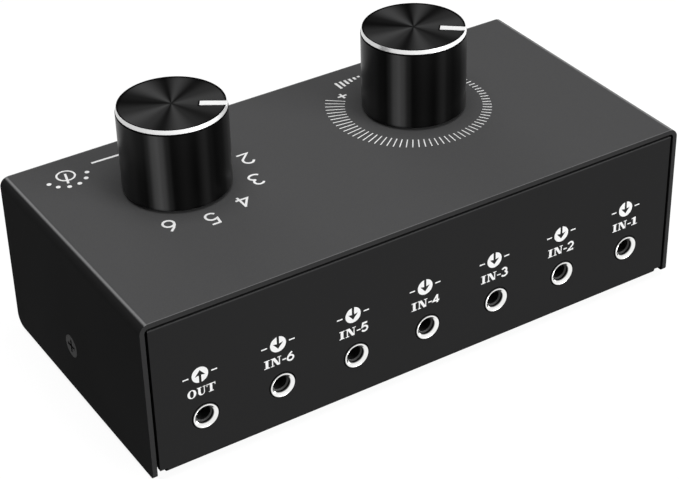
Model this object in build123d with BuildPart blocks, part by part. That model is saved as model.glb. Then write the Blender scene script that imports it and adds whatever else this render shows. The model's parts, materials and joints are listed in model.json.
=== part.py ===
from build123d import *
import os
from math import cos, radians, sin

# A passive speaker selector box: seven 3.5 mm jacks in a row on a folded steel case, a rotary
# switch that picks one of six inputs, and a volume control.
# Millimetres. X runs along the jack row, -Y is the jack panel, +Y is the side that the user
# faces and +Z is up. The origin is under the middle of the case, on the desk.

# ------------------------------------------------------------------ driving dimensions: case
case_length = 141.0
case_depth = 69.0
case_height = 40.0  # the cover, from its bottom edge to its top face
cover_sheet = 1.1
cover_bend = 2.2  # outer radius of the cover's two folds
tray_sheet = 1.2
tray_bend = 1.6  # outer radius of the tray's two folds
seam = 0.35  # gap between the tray's floor and ears and the cover round them
panel_gap = 0.7  # gap between the panels' edges and the cover
panel_recess = 0.1  # the panels lie this far inside the cover's edges
front_corner = 1.0  # rounding of the side walls' lower front corners
rear_corner = 2.8  # and of their lower rear corners
relief_width = 2.1  # bend relief at the panels' lower corners
relief_height = 1.5
foot_diameter = 9.0
foot_height = 1.6
foot_inset_x = 13.0
foot_inset_y = 11.0
foot_edge = 0.5

# Side screws: one countersunk screw through each side wall into an ear of the tray
screw_diameter = 2.9
screw_head_diameter = 5.5
screw_clearance = 0.1
screw_recess_width = 0.7  # the cross recess in a screw's head
screw_recess_depth = 0.8
screw_recess_length = 3.4
side_screw_y = 3.0
side_screw_rise = 12.3  # above the case's bottom edge
side_screw_length = 6.0
ear_width = 14.0
ear_height = 18.0
ear_corner = 2.4
ear_slot = 1.2  # relief slots beside the ear's fold

# ------------------------------------------------------------------ driving dimensions: jacks
jack_names = ["out", "in_6", "in_5", "in_4", "in_3", "in_2", "in_1"]
jack_margin = 13.5  # from the outermost jacks' axes to the case's ends
jack_rise = 11.4  # the jacks' axis above the case's bottom edge
barrel_diameter = 6.2
barrel_mouth = 5.0  # the barrel's inner diameter, round the housing's nose
lip_height = 1.1  # the lip at the barrel's outer end
lip_bore = 4.1
lip_funnel = 5.4  # the lip's bore widens to this at its face
barrel_edge = 0.12  # its broken edges
barrel_proud = 0.2  # the barrel's face stands this far out of the panel
barrel_seat = 2.0  # length held in the housing
nose_recess = 1.2  # the housing's nose ends this far inside the barrel's face
plug_bore = 3.6  # takes a 3.5 mm plug
plug_bore_lead = 0.3  # chamfer at the bore's mouth
barrel_hole_gap = 0.25  # between the barrel and the hole in the panel
press_gap = 0.03  # between pieces that are pressed together
plug_length = 14.0
socket_end_wall = 1.2
housing_width = 10.5
housing_above = 4.0  # the housing's top above the jack's axis
housing_below = 5.0  # the board's top below the jack's axis
housing_gap = 0.3  # between the housing and the panel
housing_corner = 0.6
contact_sheet = 0.3
contact_width = 1.4
contact_gap = 0.2  # round a contact in its slot
contact_clearance = 0.15  # between a leaf and the bore
slot_rise = 1.4  # the slots' top above the jack's axis
contact_reach = 2.4  # from the bore to the contact's leg
contact_depths = [4.6, 8.6, 12.4]  # sleeve, ring and tip, in from the barrel's face
contact_sides = [1, -1, 1]

# ------------------------------------------------------------------ driving dimensions: boards
board_sheet = 1.6
main_board_margin = 6.0  # from the board's ends to the case's ends
main_board_depth = 36.8
pin_length = 1.0  # pins reach this far through a board
standoff_flats = 5.5
standoff_shank = 4.2
board_screw_length = 4.6
board_screw_head = 5.5
board_screw_head_height = 1.9
front_screw_x = 2.5  # in jack pitches: between two jacks
front_screw_inset = 6.0  # from the board's front edge
rear_screw_margin = 6.0  # from the board's ends
rear_screw_inset = 4.0  # from the board's rear edge
control_board_drop = 14.2  # the control board's top below the cover
control_board_margin = 14.0  # past the selector's and the volume control's axes
control_board_front = 15.5  # in front of the axes
control_board_rear = 13.5  # behind them
ribbon_x = -6.0
ribbon_cores = 16
ribbon_pitch = 1.27
ribbon_core_diameter = 0.9
ribbon_web = 0.4
ribbon_behind_axes = 6.5  # where the ribbon leaves the control board
ribbon_rise = 6.0  # where it enters its socket, above the main board
pin_pitch = 2.54
pin_columns = 8
pin_rows = 2
pin_square = 0.6
pin_hole_diameter = 1.0
header_depth = 5.4
header_height = 2.5
socket_height = 6.0
socket_corner = 0.5
socket_roof = 0.3
header_margin = 0.8  # past the outermost pins' pitch
header_inset = 1.4  # from the board's rear edge

# ------------------------------------------------------------------ driving dimensions: knobs
selector_margin = 32.5  # from the selector's axis to the case's left end
volume_margin = 44.5  # from the volume control's axis to its right end
control_margin = 25.0  # from both axes to its rear face
knob_diameter = 25.0
knob_height = 20.5
knob_gap = 0.5  # between the knob and the case
knob_bevel_height = 1.35
knob_bevel_width = 0.35
knob_foot_round = 0.7
knob_face_rim = 0.35
knob_face_recess = 0.12
knob_wall = 2.6
knob_top = 2.4
core_rise = 6.0  # the core's lower end above the knob's rim
core_roof = 1.1
pointer_width = 1.8
pointer_length = 5.9
pointer_depth = 0.5
shaft_diameter = 6.0
shaft_flat = 1.5  # depth of the flat on a shaft's end
shaft_chamfer = 0.4
running_gap = 0.05
selector_pointer = -34.0  # degrees from +X: the selector stands at its third place
volume_pointer = -40.0

# ------------------------------------------------------------------ driving dimensions: selector
selector_steps = 12  # places in a full turn, of which six are used
selector_places = 6
selector_rest_place = 3
selector_thread = 9.0
selector_nut_flats = 12.0
nut_height = 2.0
washer_height = 0.6
washer_margin = 0.8  # past the nut's flats
thread_past_nut = 0.8
thread_gap = 0.1  # between a threaded bush and the hole in the cover
selector_flange_diameter = 25.0
selector_flange = 1.6
peg_diameter = 2.0  # keeps a control from turning in the cover
peg_radius = 9.4
selector_housing_height = 8.4
selector_housing_floor = 1.2
detent_crest = 10.75
detent_notch_radius = 1.75
detent_notch_depth = 0.9
ball_diameter = 3.0
ball_gap = 0.15  # between a ball and the crests
carrier_arm = 9.0
carrier_width = 5.4
carrier_height = 4.4
carrier_hub_diameter = 10.8
carrier_gap = 0.3
spring_wire = 0.4
spring_seat = 1.2  # carrier material between the shaft and a spring
stop_height = 2.1
stop_half_angle = 9.0
stop_inner = 4.0
stop_outer = 8.6
stop_slack = 1.5  # degrees
stop_ledge = 1.0  # the block stands this much further out than the tab's inner end
wafer_sheet = 1.5
rotor_diameter = 10.8
rotor_gap = 0.2
rotor_flange_diameter = 17.2
rotor_flange = 0.9
lug_sheet = 0.3
lug_width = 1.4
lug_inner = 6.3
lug_pin_radius = 10.6
lug_pin_width = 0.8
wiper_sheet = 0.3
wiper_angle = 24.0
wiper_gap = 0.1
wiper_inner = 6.3
wiper_outer = 8.3
housing_shaft_gap = 0.6

# ------------------------------------------------------------------ driving dimensions: volume
volume_thread = 7.0
volume_nut_flats = 10.0
volume_plate = 1.2
volume_plate_width = 16.0
volume_plate_corner = 1.0
can_diameter = 16.8
can_wall = 0.5
can_window = 13.0
track_sheet = 1.3
track_diameter = 15.4
track_tongue = 12.4
track_gap = 0.3
track_hole_gap = 0.3
carrier_disc_diameter = 13.2
carrier_disc = 1.6
volume_wiper_inner = 4.0
volume_wiper_outer = 6.1
track_terminal_pitch = 4.0
upper_pin_reach = 10.7
lower_pin_reach = 9.0
tongue_margin = 0.6

# ------------------------------------------------------------------ places that follow
selector_axis = (selector_margin - case_length / 2, case_depth / 2 - control_margin)
volume_axis = (case_length / 2 - volume_margin, case_depth / 2 - control_margin)
case_floor = foot_height
case_top = case_floor + case_height
roof_under = case_top - cover_sheet
tray_width = case_length - 2 * (cover_sheet + seam)
tray_depth = case_depth - 2 * panel_recess
tray_height = case_height - cover_sheet - panel_gap
tray_floor_top = case_floor + tray_sheet
panel_face = -tray_depth / 2
panel_back = panel_face + tray_sheet
side_screw_z = case_floor + side_screw_rise
ear_face = tray_width / 2
jack_z = case_floor + jack_rise
jack_pitch = (case_length - 2 * jack_margin) / (len(jack_names) - 1)
jack_xs = [jack_margin - case_length / 2 + index * jack_pitch for index in range(len(jack_names))]
barrel_face = panel_face - barrel_proud
nose_face = barrel_face + nose_recess
housing_front = panel_back + housing_gap
housing_rear = barrel_face + plug_length + socket_end_wall
board_top = jack_z - housing_below
board_under = board_top - board_sheet
main_board_front = housing_front + housing_gap
main_board_rear = main_board_front + main_board_depth
main_board_length = case_length - 2 * main_board_margin
front_screw_y = main_board_front + front_screw_inset
rear_screw_x = main_board_length / 2 - rear_screw_margin
rear_screw_y = main_board_rear - rear_screw_inset
board_screw_places = [
    (-front_screw_x * jack_pitch, front_screw_y),
    (front_screw_x * jack_pitch, front_screw_y),
    (-rear_screw_x, rear_screw_y),
    (rear_screw_x, rear_screw_y),
]
control_top = roof_under - control_board_drop
control_under = control_top - board_sheet
ribbon_y = selector_axis[1] + ribbon_behind_axes
ribbon_z = board_top + ribbon_rise
header_y = main_board_rear - header_inset - header_depth / 2
header_length = pin_columns * pin_pitch + 2 * header_margin
knob_foot = case_top + knob_gap
knob_crown = knob_foot + knob_height
knob_ceiling = knob_crown - knob_top
core_foot = knob_foot + core_rise
shaft_end = knob_ceiling - core_roof - running_gap
selector_step = 360 / selector_steps
selector_up = (selector_rest_place - 1) * selector_step
selector_down = (selector_places - selector_rest_place) * selector_step
selector_housing_top = roof_under - selector_flange
selector_housing_under = selector_housing_top - selector_housing_height
wafer_under = selector_housing_under - wafer_sheet
lug_under = wafer_under - lug_sheet
rotor_flange_top = lug_under - wiper_gap - wiper_sheet
rotor_flange_under = rotor_flange_top - rotor_flange
ball_radius_place = detent_crest - ball_gap - ball_diameter / 2
spring_inner = shaft_diameter / 2 + spring_seat

on_base = (Align.CENTER, Align.CENTER, Align.MIN)
under = (Align.CENTER, Align.CENTER, Align.MAX)


# ------------------------------------------------------------------ helpers
def save(piece, name):
    """Label a finished piece and write it as a STEP file of its own."""
    piece.part.label = name
    export_step(piece.part, f"parts/{name}.step")


def level_plane(axis, height, angle=0.0):
    """A level plane on an upright axis, with its x direction turned to an angle."""
    turned = (cos(radians(angle)), sin(radians(angle)), 0)
    return Plane(origin=(axis[0], axis[1], height), x_dir=turned, z_dir=(0, 0, 1))


def outward_plane(axis, height, angle, reach):
    """An upright plane round an axis that faces away from it, at a reach from it."""
    outward = Vector(cos(radians(angle)), sin(radians(angle)), 0)
    return Plane(origin=Vector(axis[0], axis[1], height) + outward * reach, x_dir=(0, 0, 1),
                 z_dir=outward)


def side_plane(side, x, y, z):
    """A plane on the left (-1) or right (1) side of the case that faces outwards."""
    return Plane(origin=(side * x, y, z), x_dir=(0, side, 0), z_dir=(side, 0, 0))


def front_plane(x, y, z):
    """An upright plane that faces the jack side, with its x direction along the row."""
    return Plane(origin=(x, y, z), x_dir=(1, 0, 0), z_dir=(0, -1, 0))


def ring_sector(inner, outer, start, size):
    """Add a stretch of a flat ring to the sketch that is open."""
    with BuildSketch(mode=Mode.PRIVATE) as stretch:
        with BuildLine():
            inside = CenterArc((0, 0), inner, start, size)
            outside = CenterArc((0, 0), outer, start, size)
            Line(inside @ 0, outside @ 0)
            Line(inside @ 1, outside @ 1)
        make_face()
    add(stretch.sketch_local)


def flatted_circle(radius, flat):
    """Draw a shaft's section in the sketch that is open: a circle with one flat."""
    Circle(radius)
    with Locations((-radius, 0)):
        Rectangle(2 * flat, 2 * radius, mode=Mode.SUBTRACT)


def cut_cross_recess():
    """Cut a screw's cross recess into the part that is open, down from the origin of the locations."""
    for turn in (0, 90):
        Box(screw_recess_width, screw_recess_length, screw_recess_depth,
            rotation=(0, 0, turn), align=under, mode=Mode.SUBTRACT)


os.makedirs("parts", exist_ok=True)

# ------------------------------------------------------------------ case
# The cover: roof and two side walls, folded from one sheet.
with BuildPart() as top_cover:
    with Locations((0, 0, case_floor)):
        Box(case_length, case_depth, case_height, align=on_base)
    fillet(faces().sort_by(Axis.Z)[-1].edges().filter_by(Axis.Y), cover_bend)
    open_sides = faces().filter_by(Axis.Y) + faces().sort_by(Axis.Z)[:1]
    offset(amount=-cover_sheet, openings=open_sides)
    lower_corners = edges().filter_by(Axis.X).group_by(Axis.Z)[0]
    fillet(lower_corners.group_by(Axis.Y)[0], front_corner)
    lower_corners = edges().filter_by(Axis.X).group_by(Axis.Z)[0]
    fillet(lower_corners.group_by(Axis.Y)[-1], rear_corner)
    for side in (-1, 1):
        with Locations(side_plane(side, case_length / 2, side_screw_y, side_screw_z)):
            CounterSinkHole(screw_diameter / 2 + screw_clearance,
                            screw_head_diameter / 2 + screw_clearance, 2 * cover_sheet, 90)
    for axis, thread in ((selector_axis, selector_thread), (volume_axis, volume_thread)):
        with Locations((axis[0], axis[1], case_top)):
            Hole(thread / 2 + thread_gap, 2 * cover_sheet)
        with Locations((axis[0], axis[1] + peg_radius, case_top)):
            Hole(peg_diameter / 2 + thread_gap, 2 * cover_sheet)
save(top_cover, "top_cover")

# The tray: floor, jack panel, rear panel and two ears, folded from one sheet.
with BuildPart() as base_tray:
    with Locations((0, 0, case_floor)):
        Box(tray_width, tray_depth, tray_height, align=on_base)
    fillet(faces().sort_by(Axis.Z)[0].edges().filter_by(Axis.X), tray_bend)
    open_sides = faces().filter_by(Axis.X) + faces().sort_by(Axis.Z)[-1:]
    offset(amount=-tray_sheet, openings=open_sides)
    for side in (-1, 1):
        with BuildSketch(side_plane(side, ear_face, side_screw_y, case_floor)):
            with Locations((0, ear_height / 2)):
                Rectangle(ear_width, ear_height)
            fillet(vertices().group_by(Axis.Y)[-1], ear_corner)
        extrude(amount=-tray_sheet)
        for edge in (-1, 1):
            slot_y = side_screw_y + edge * (ear_width + ear_slot) / 2
            with Locations((side * ear_face, slot_y, case_floor)):
                Box(4 * tray_sheet, ear_slot, 2 * tray_sheet, mode=Mode.SUBTRACT)
        with Locations(side_plane(side, ear_face, side_screw_y, side_screw_z)):
            Hole(screw_diameter / 2 + running_gap, 2 * tray_sheet)
        with GridLocations(0, tray_depth, 1, 2):
            with Locations((side * tray_width / 2, 0, case_floor)):
                Box(2 * relief_width, 4 * tray_bend, 2 * relief_height, mode=Mode.SUBTRACT)
                Box(2 * (panel_gap - seam), 2 * tray_bend, 2 * case_height, mode=Mode.SUBTRACT)
    for jack_x in jack_xs:
        with Locations(front_plane(jack_x, panel_face, jack_z)):
            Hole(barrel_diameter / 2 + barrel_hole_gap, 2 * tray_sheet)
    for place in board_screw_places:
        with Locations((place[0], place[1], tray_floor_top)):
            Hole(standoff_shank / 2 + press_gap, 2 * tray_sheet)
save(base_tray, "base_tray")

# Countersunk screws, one through each side wall.
with BuildPart() as cover_screws:
    for side in (-1, 1):
        wall = side_plane(side, case_length / 2, side_screw_y, side_screw_z)
        head_height = (screw_head_diameter - screw_diameter) / 2
        with BuildSketch(wall):
            Circle(screw_diameter / 2)
        extrude(amount=-side_screw_length)
        with BuildSketch(wall):
            Circle(screw_head_diameter / 2)
        extrude(amount=-head_height, taper=45)
        with Locations(wall):
            cut_cross_recess()
save(cover_screws, "cover_screws")

# Four stick-on feet under the tray.
with BuildPart() as rubber_feet:
    with BuildSketch():
        with GridLocations(case_length - 2 * foot_inset_x, case_depth - 2 * foot_inset_y, 2, 2):
            Circle(foot_diameter / 2)
    extrude(amount=foot_height)
    fillet(edges().group_by(Axis.Z)[0], foot_edge)
save(rubber_feet, "rubber_feet")

# ------------------------------------------------------------------ jacks
contact_places = list(zip(contact_depths, contact_sides))
leaf_x = plug_bore / 2 + contact_clearance
leg_x = plug_bore / 2 + contact_reach
slot_inner = plug_bore / 2 - contact_gap
slot_outer = leg_x + contact_sheet + contact_gap
shelf_drop = plug_bore / 2 + contact_gap

# The moulded housing: a block with a nose inside the barrel, a blind bore for the plug and a
# slot for each contact.
with BuildPart() as jack_housing_form:
    with Locations((0, (housing_front + housing_rear) / 2, board_top)):
        Box(housing_width, housing_rear - housing_front, housing_below + housing_above,
            align=on_base)
    fillet(edges().filter_by(Axis.Y).group_by(Axis.Z)[-1], housing_corner)
    with BuildSketch(front_plane(0, housing_front, jack_z)):
        Circle(barrel_diameter / 2 + press_gap)
        Circle(barrel_mouth / 2 - press_gap, mode=Mode.SUBTRACT)
    extrude(amount=-barrel_seat, mode=Mode.SUBTRACT)
    with BuildSketch(front_plane(0, nose_face, jack_z)):
        Circle(barrel_mouth / 2 - press_gap)
    extrude(amount=nose_face - housing_front - barrel_seat)
    with Locations(front_plane(0, nose_face, jack_z)):
        Hole(plug_bore / 2, housing_rear - nose_face - socket_end_wall)
    chamfer(faces().sort_by(Axis.Y)[0].edges().sort_by(SortBy.RADIUS)[0], plug_bore_lead)
    for depth, side in contact_places:
        slot_x = side * (slot_inner + slot_outer) / 2
        with Locations((slot_x, barrel_face + depth, board_top)):
            Box(slot_outer - slot_inner, contact_width + 2 * contact_gap, housing_below + slot_rise,
                align=on_base, mode=Mode.SUBTRACT)

# The turned barrel that shows in the panel.
with BuildPart() as jack_barrel_form:
    with BuildSketch(front_plane(0, barrel_face, jack_z)):
        Circle(barrel_diameter / 2)
    extrude(amount=-(housing_front + barrel_seat - barrel_face))
    with BuildSketch(front_plane(0, barrel_face + lip_height, jack_z)):
        Circle(barrel_mouth / 2)
    extrude(amount=-(housing_front + barrel_seat - barrel_face), mode=Mode.SUBTRACT)
    with Locations(front_plane(0, barrel_face, jack_z)):
        CounterSinkHole(lip_bore / 2, lip_funnel / 2, 2 * lip_height, 90)
    chamfer(faces().sort_by(Axis.Y)[0].edges(), barrel_edge)

# Sleeve, ring and tip contacts: a leaf beside the bore, a shelf and a leg through the board.
with BuildPart() as jack_contacts_form:
    for depth, side in contact_places:
        with BuildSketch(Plane(origin=(0, barrel_face + depth, jack_z), x_dir=(side, 0, 0),
                               z_dir=(0, -side, 0))):
            with BuildLine():
                Polyline((leaf_x, slot_rise - contact_gap), (leaf_x, -shelf_drop),
                         (leg_x, -shelf_drop), (leg_x, board_under - pin_length - jack_z),
                         (leg_x + contact_sheet, board_under - pin_length - jack_z),
                         (leg_x + contact_sheet, contact_sheet - shelf_drop),
                         (leaf_x + contact_sheet, contact_sheet - shelf_drop),
                         (leaf_x + contact_sheet, slot_rise - contact_gap), close=True)
            make_face()
        extrude(amount=contact_width / 2, both=True)

jack_forms = {
    "jack_housing": jack_housing_form,
    "jack_barrel": jack_barrel_form,
    "jack_contacts": jack_contacts_form,
}
for jack_name, jack_x in zip(jack_names, jack_xs):
    for form_name, form in jack_forms.items():
        with BuildPart() as jack_piece:
            with Locations((jack_x, 0, 0)):
                add(form.part)
        save(jack_piece, f"{form_name}_{jack_name}")

# ------------------------------------------------------------------ main board
with BuildPart() as main_board:
    with BuildSketch(Plane.XY.offset(board_under)):
        with Locations((0, (main_board_front + main_board_rear) / 2)):
            Rectangle(main_board_length, main_board_depth)
        with Locations(*board_screw_places):
            Circle(screw_diameter / 2 + screw_clearance, mode=Mode.SUBTRACT)
        for jack_x in jack_xs:
            for depth, side in contact_places:
                with Locations((jack_x + side * (leg_x + contact_sheet / 2), barrel_face + depth)):
                    Rectangle(contact_sheet + 2 * contact_gap, contact_width + 2 * contact_gap,
                              mode=Mode.SUBTRACT)
        with Locations((ribbon_x, header_y)):
            with GridLocations(pin_pitch, pin_pitch, pin_columns, pin_rows):
                Circle(pin_hole_diameter / 2, mode=Mode.SUBTRACT)
    extrude(amount=board_sheet)
save(main_board, "main_board")

# Hexagonal standoffs, clinched into the tray's floor.
with BuildPart() as board_standoffs:
    with BuildSketch(Plane.XY.offset(tray_floor_top)):
        with Locations(*board_screw_places):
            RegularPolygon(standoff_flats / 2, 6, major_radius=False)
    extrude(amount=board_under - tray_floor_top)
    with BuildSketch(Plane.XY.offset(case_floor)):
        with Locations(*board_screw_places):
            Circle(standoff_shank / 2)
    extrude(amount=tray_sheet)
    with BuildSketch(Plane.XY.offset(board_under)):
        with Locations(*board_screw_places):
            Circle(screw_diameter / 2 + running_gap)
    extrude(amount=-(board_under - case_floor), mode=Mode.SUBTRACT)
save(board_standoffs, "board_standoffs")

with BuildPart() as board_screws:
    with BuildSketch(Plane.XY.offset(board_top)):
        with Locations(*board_screw_places):
            Circle(board_screw_head / 2)
    extrude(amount=board_screw_head_height)
    fillet(edges().group_by(Axis.Z)[-1], board_screw_head_height / 3)
    with BuildSketch(Plane.XY.offset(board_top)):
        with Locations(*board_screw_places):
            Circle(screw_diameter / 2)
    extrude(amount=-board_screw_length)
    for place in board_screw_places:
        with Locations((place[0], place[1], board_top + board_screw_head_height)):
            cut_cross_recess()
save(board_screws, "board_screws")

# ------------------------------------------------------------------ ribbon and its connector
with BuildPart() as ribbon_header:
    with Locations((ribbon_x, header_y, board_top)):
        Box(header_length, header_depth, header_height, align=on_base)
        with GridLocations(pin_pitch, pin_pitch, pin_columns, pin_rows):
            Box(pin_square + 2 * press_gap, pin_square + 2 * press_gap, header_height,
                align=on_base, mode=Mode.SUBTRACT)
save(ribbon_header, "ribbon_header")

pin_top = board_top + header_height + socket_height - socket_roof
with BuildPart() as ribbon_pins:
    with Locations((ribbon_x, header_y, board_under - pin_length)):
        with GridLocations(pin_pitch, pin_pitch, pin_columns, pin_rows):
            Box(pin_square, pin_square, pin_top - board_under + pin_length, align=on_base)
save(ribbon_pins, "ribbon_pins")

with BuildPart() as ribbon_socket:
    with Locations((ribbon_x, header_y, board_top + header_height)):
        Box(header_length, header_depth, socket_height, align=on_base)
    fillet(edges().filter_by(Axis.X).group_by(Axis.Z)[-1], socket_corner)
    with Locations((ribbon_x, header_y, board_top + header_height)):
        with GridLocations(pin_pitch, pin_pitch, pin_columns, pin_rows):
            Box(pin_square + 2 * press_gap, pin_square + 2 * press_gap, socket_height - socket_roof,
                align=on_base, mode=Mode.SUBTRACT)
save(ribbon_socket, "ribbon_socket")

# The flat cable: down from the control board, round one bend and into the socket.
socket_face = header_y + header_depth / 2
ribbon_corner = (ribbon_x, ribbon_y, ribbon_z)
ribbon_runs = (control_under - ribbon_z, ribbon_y - socket_face)
ribbon_bend = 0.45 * min(ribbon_runs)
with BuildPart() as ribbon_cable:
    with BuildLine() as ribbon_route:
        FilletPolyline((ribbon_x, ribbon_y, control_under), ribbon_corner,
                       (ribbon_x, socket_face, ribbon_z), radius=ribbon_bend)
    with BuildSketch(Plane(origin=(ribbon_x, ribbon_y, control_under), x_dir=(1, 0, 0),
                           z_dir=(0, 0, -1))):
        Rectangle((ribbon_cores - 1) * ribbon_pitch, ribbon_web)
        with GridLocations(ribbon_pitch, ribbon_pitch, ribbon_cores, 1):
            Circle(ribbon_core_diameter / 2)
    sweep()
save(ribbon_cable, "ribbon_cable")

# ------------------------------------------------------------------ control board
lug_angles = [selector_pointer + selector_step * step for step in range(selector_steps)]
lug_angles += [selector_pointer + selector_step * step + selector_step / 2 for step in (3, 9)]
lug_places = [
    (selector_axis[0] + lug_pin_radius * cos(radians(angle)),
     selector_axis[1] + lug_pin_radius * sin(radians(angle)))
    for angle in lug_angles
]
terminal_places = [
    (volume_axis[0] + step * track_terminal_pitch, volume_axis[1] - reach)
    for reach in (upper_pin_reach, lower_pin_reach) for step in (-1, 0, 1)
]

with BuildPart() as control_board:
    with BuildSketch(Plane.XY.offset(control_under)):
        with Locations(((selector_axis[0] + volume_axis[0]) / 2,
                        selector_axis[1] + (control_board_rear - control_board_front) / 2)):
            Rectangle(volume_axis[0] - selector_axis[0] + 2 * control_board_margin,
                      control_board_front + control_board_rear)
        with Locations(*lug_places, *terminal_places):
            Circle(pin_hole_diameter / 2, mode=Mode.SUBTRACT)
    extrude(amount=board_sheet)
save(control_board, "control_board")


# ------------------------------------------------------------------ what both controls share
def make_fastening(name, axis, thread, nut_flats):
    """Washer and hexagonal nut that clamp a control to the cover."""
    with BuildPart() as washer:
        with BuildSketch(level_plane(axis, case_top)):
            Circle(nut_flats / 2 + washer_margin)
            Circle(thread / 2 + thread_gap, mode=Mode.SUBTRACT)
        extrude(amount=washer_height)
    save(washer, f"{name}_washer")

    with BuildPart() as nut:
        with BuildSketch(level_plane(axis, case_top + washer_height)):
            RegularPolygon(nut_flats / 2, 6, major_radius=False)
            Circle(thread / 2 + running_gap, mode=Mode.SUBTRACT)
        extrude(amount=nut_height)
    save(nut, f"{name}_nut")


def make_bushing(name, axis, thread, plate_height, plate):
    """Mounting plate with its threaded bush and the peg that keeps it from turning."""
    thread_height = cover_sheet + washer_height + nut_height + thread_past_nut
    with BuildPart() as bushing:
        with BuildSketch(level_plane(axis, roof_under)):
            add(plate.sketch_local)
        extrude(amount=-plate_height)
        with BuildSketch(level_plane(axis, roof_under)):
            Circle(thread / 2)
        extrude(amount=thread_height)
        chamfer(faces().sort_by(Axis.Z)[-1].edges(), thread_past_nut / 2)
        with BuildSketch(level_plane((axis[0], axis[1] + peg_radius), roof_under)):
            Circle(peg_diameter / 2)
        extrude(amount=cover_sheet - thread_gap)
        with BuildSketch(level_plane(axis, roof_under - plate_height)):
            Circle(shaft_diameter / 2 + running_gap)
        extrude(amount=plate_height + thread_height, mode=Mode.SUBTRACT)
    save(bushing, f"{name}_bushing")


def make_shaft(name, axis, pointer, foot, lower_flat_top):
    """Steel shaft with a flat at its top for the knob and one at its foot for what it turns."""
    with BuildPart() as shaft:
        with BuildSketch(level_plane(axis, foot, pointer)):
            Circle(shaft_diameter / 2)
        extrude(amount=shaft_end - foot)
        chamfer(faces().sort_by(Axis.Z)[-1].edges(), shaft_chamfer)
        for low, high in ((core_foot - knob_gap, shaft_end), (foot, lower_flat_top)):
            with BuildSketch(level_plane(axis, low, pointer)):
                with Locations((-shaft_diameter / 2, 0)):
                    Rectangle(2 * shaft_flat, shaft_diameter)
            extrude(amount=high - low, mode=Mode.SUBTRACT)
    save(shaft, f"{name}_shaft")


def make_knob(name, axis, pointer):
    """Knob of three pieces: a turned shell, the core that grips the shaft, and the pointer."""
    radius = knob_diameter / 2
    crown_radius = radius - knob_bevel_width
    bevel_foot = knob_height - knob_bevel_height
    with BuildPart() as shell:
        with BuildSketch(Plane(origin=(axis[0], axis[1], knob_foot), x_dir=(1, 0, 0),
                               z_dir=(0, -1, 0))):
            with BuildLine():
                Polyline((0, knob_height - knob_top), (radius - knob_wall, knob_height - knob_top),
                         (radius - knob_wall, 0), (radius, 0), (radius, bevel_foot),
                         (crown_radius, knob_height), (crown_radius - knob_face_rim, knob_height),
                         (crown_radius - knob_face_rim, knob_height - knob_face_recess),
                         (0, knob_height - knob_face_recess), close=True)
            make_face()
        revolve(axis=Axis((axis[0], axis[1], 0), (0, 0, 1)))
        rim = edges().group_by(Axis.Z)[0].sort_by(SortBy.RADIUS)[-1]
        fillet(rim, knob_foot_round)
        with BuildSketch(level_plane(axis, knob_crown, pointer)):
            with Locations((crown_radius - pointer_length / 2 + pointer_width / 2, 0)):
                Rectangle(pointer_length + pointer_width, pointer_width)
        extrude(amount=-pointer_depth, mode=Mode.SUBTRACT)
    save(shell, f"{name}_knob_shell")

    with BuildPart() as inlay:
        with BuildSketch(level_plane(axis, knob_crown - pointer_depth, pointer)):
            with Locations((crown_radius - pointer_length / 2, 0)):
                Rectangle(pointer_length, pointer_width)
            Circle(crown_radius, mode=Mode.INTERSECT)
        extrude(amount=pointer_depth)
    save(inlay, f"{name}_knob_pointer")

    with BuildPart() as core:
        with BuildSketch(level_plane(axis, core_foot, pointer)):
            Circle(radius - knob_wall - press_gap)
        extrude(amount=knob_ceiling - core_foot)
        with BuildSketch(level_plane(axis, core_foot, pointer)):
            flatted_circle(shaft_diameter / 2 + press_gap, shaft_flat)
        extrude(amount=knob_ceiling - core_roof - core_foot, mode=Mode.SUBTRACT)
    save(core, f"{name}_knob_core")


# ------------------------------------------------------------------ selector switch
with BuildSketch() as selector_plate:
    Circle(selector_flange_diameter / 2)
make_bushing("selector", selector_axis, selector_thread, selector_flange, selector_plate)
make_fastening("selector", selector_axis, selector_thread, selector_nut_flats)

# The moulded housing: a cup with a notched wall, and the block that limits the turn.
with BuildPart() as selector_housing:
    with BuildSketch(level_plane(selector_axis, selector_housing_under)):
        Circle(selector_flange_diameter / 2)
    extrude(amount=selector_housing_height)
    with BuildSketch(level_plane(selector_axis, selector_housing_top)):
        Circle(detent_crest)
        notch_place = detent_crest + detent_notch_depth - detent_notch_radius
        with PolarLocations(notch_place, selector_steps, start_angle=selector_pointer):
            Circle(detent_notch_radius)
    extrude(amount=-(selector_housing_height - selector_housing_floor), mode=Mode.SUBTRACT)
    with BuildSketch(level_plane(selector_axis, selector_housing_under)):
        Circle(shaft_diameter / 2 + housing_shaft_gap)
    extrude(amount=selector_housing_floor, mode=Mode.SUBTRACT)
    with BuildSketch(level_plane(selector_axis, selector_housing_under + selector_housing_floor)):
        stop_margin = stop_half_angle + stop_slack
        free_turn = selector_up + selector_down + 2 * stop_margin
        ring_sector(stop_inner + stop_ledge, stop_outer, selector_pointer + selector_up + stop_margin,
                    360 - free_turn)
    extrude(amount=stop_height)
save(selector_housing, "selector_housing")

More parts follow.
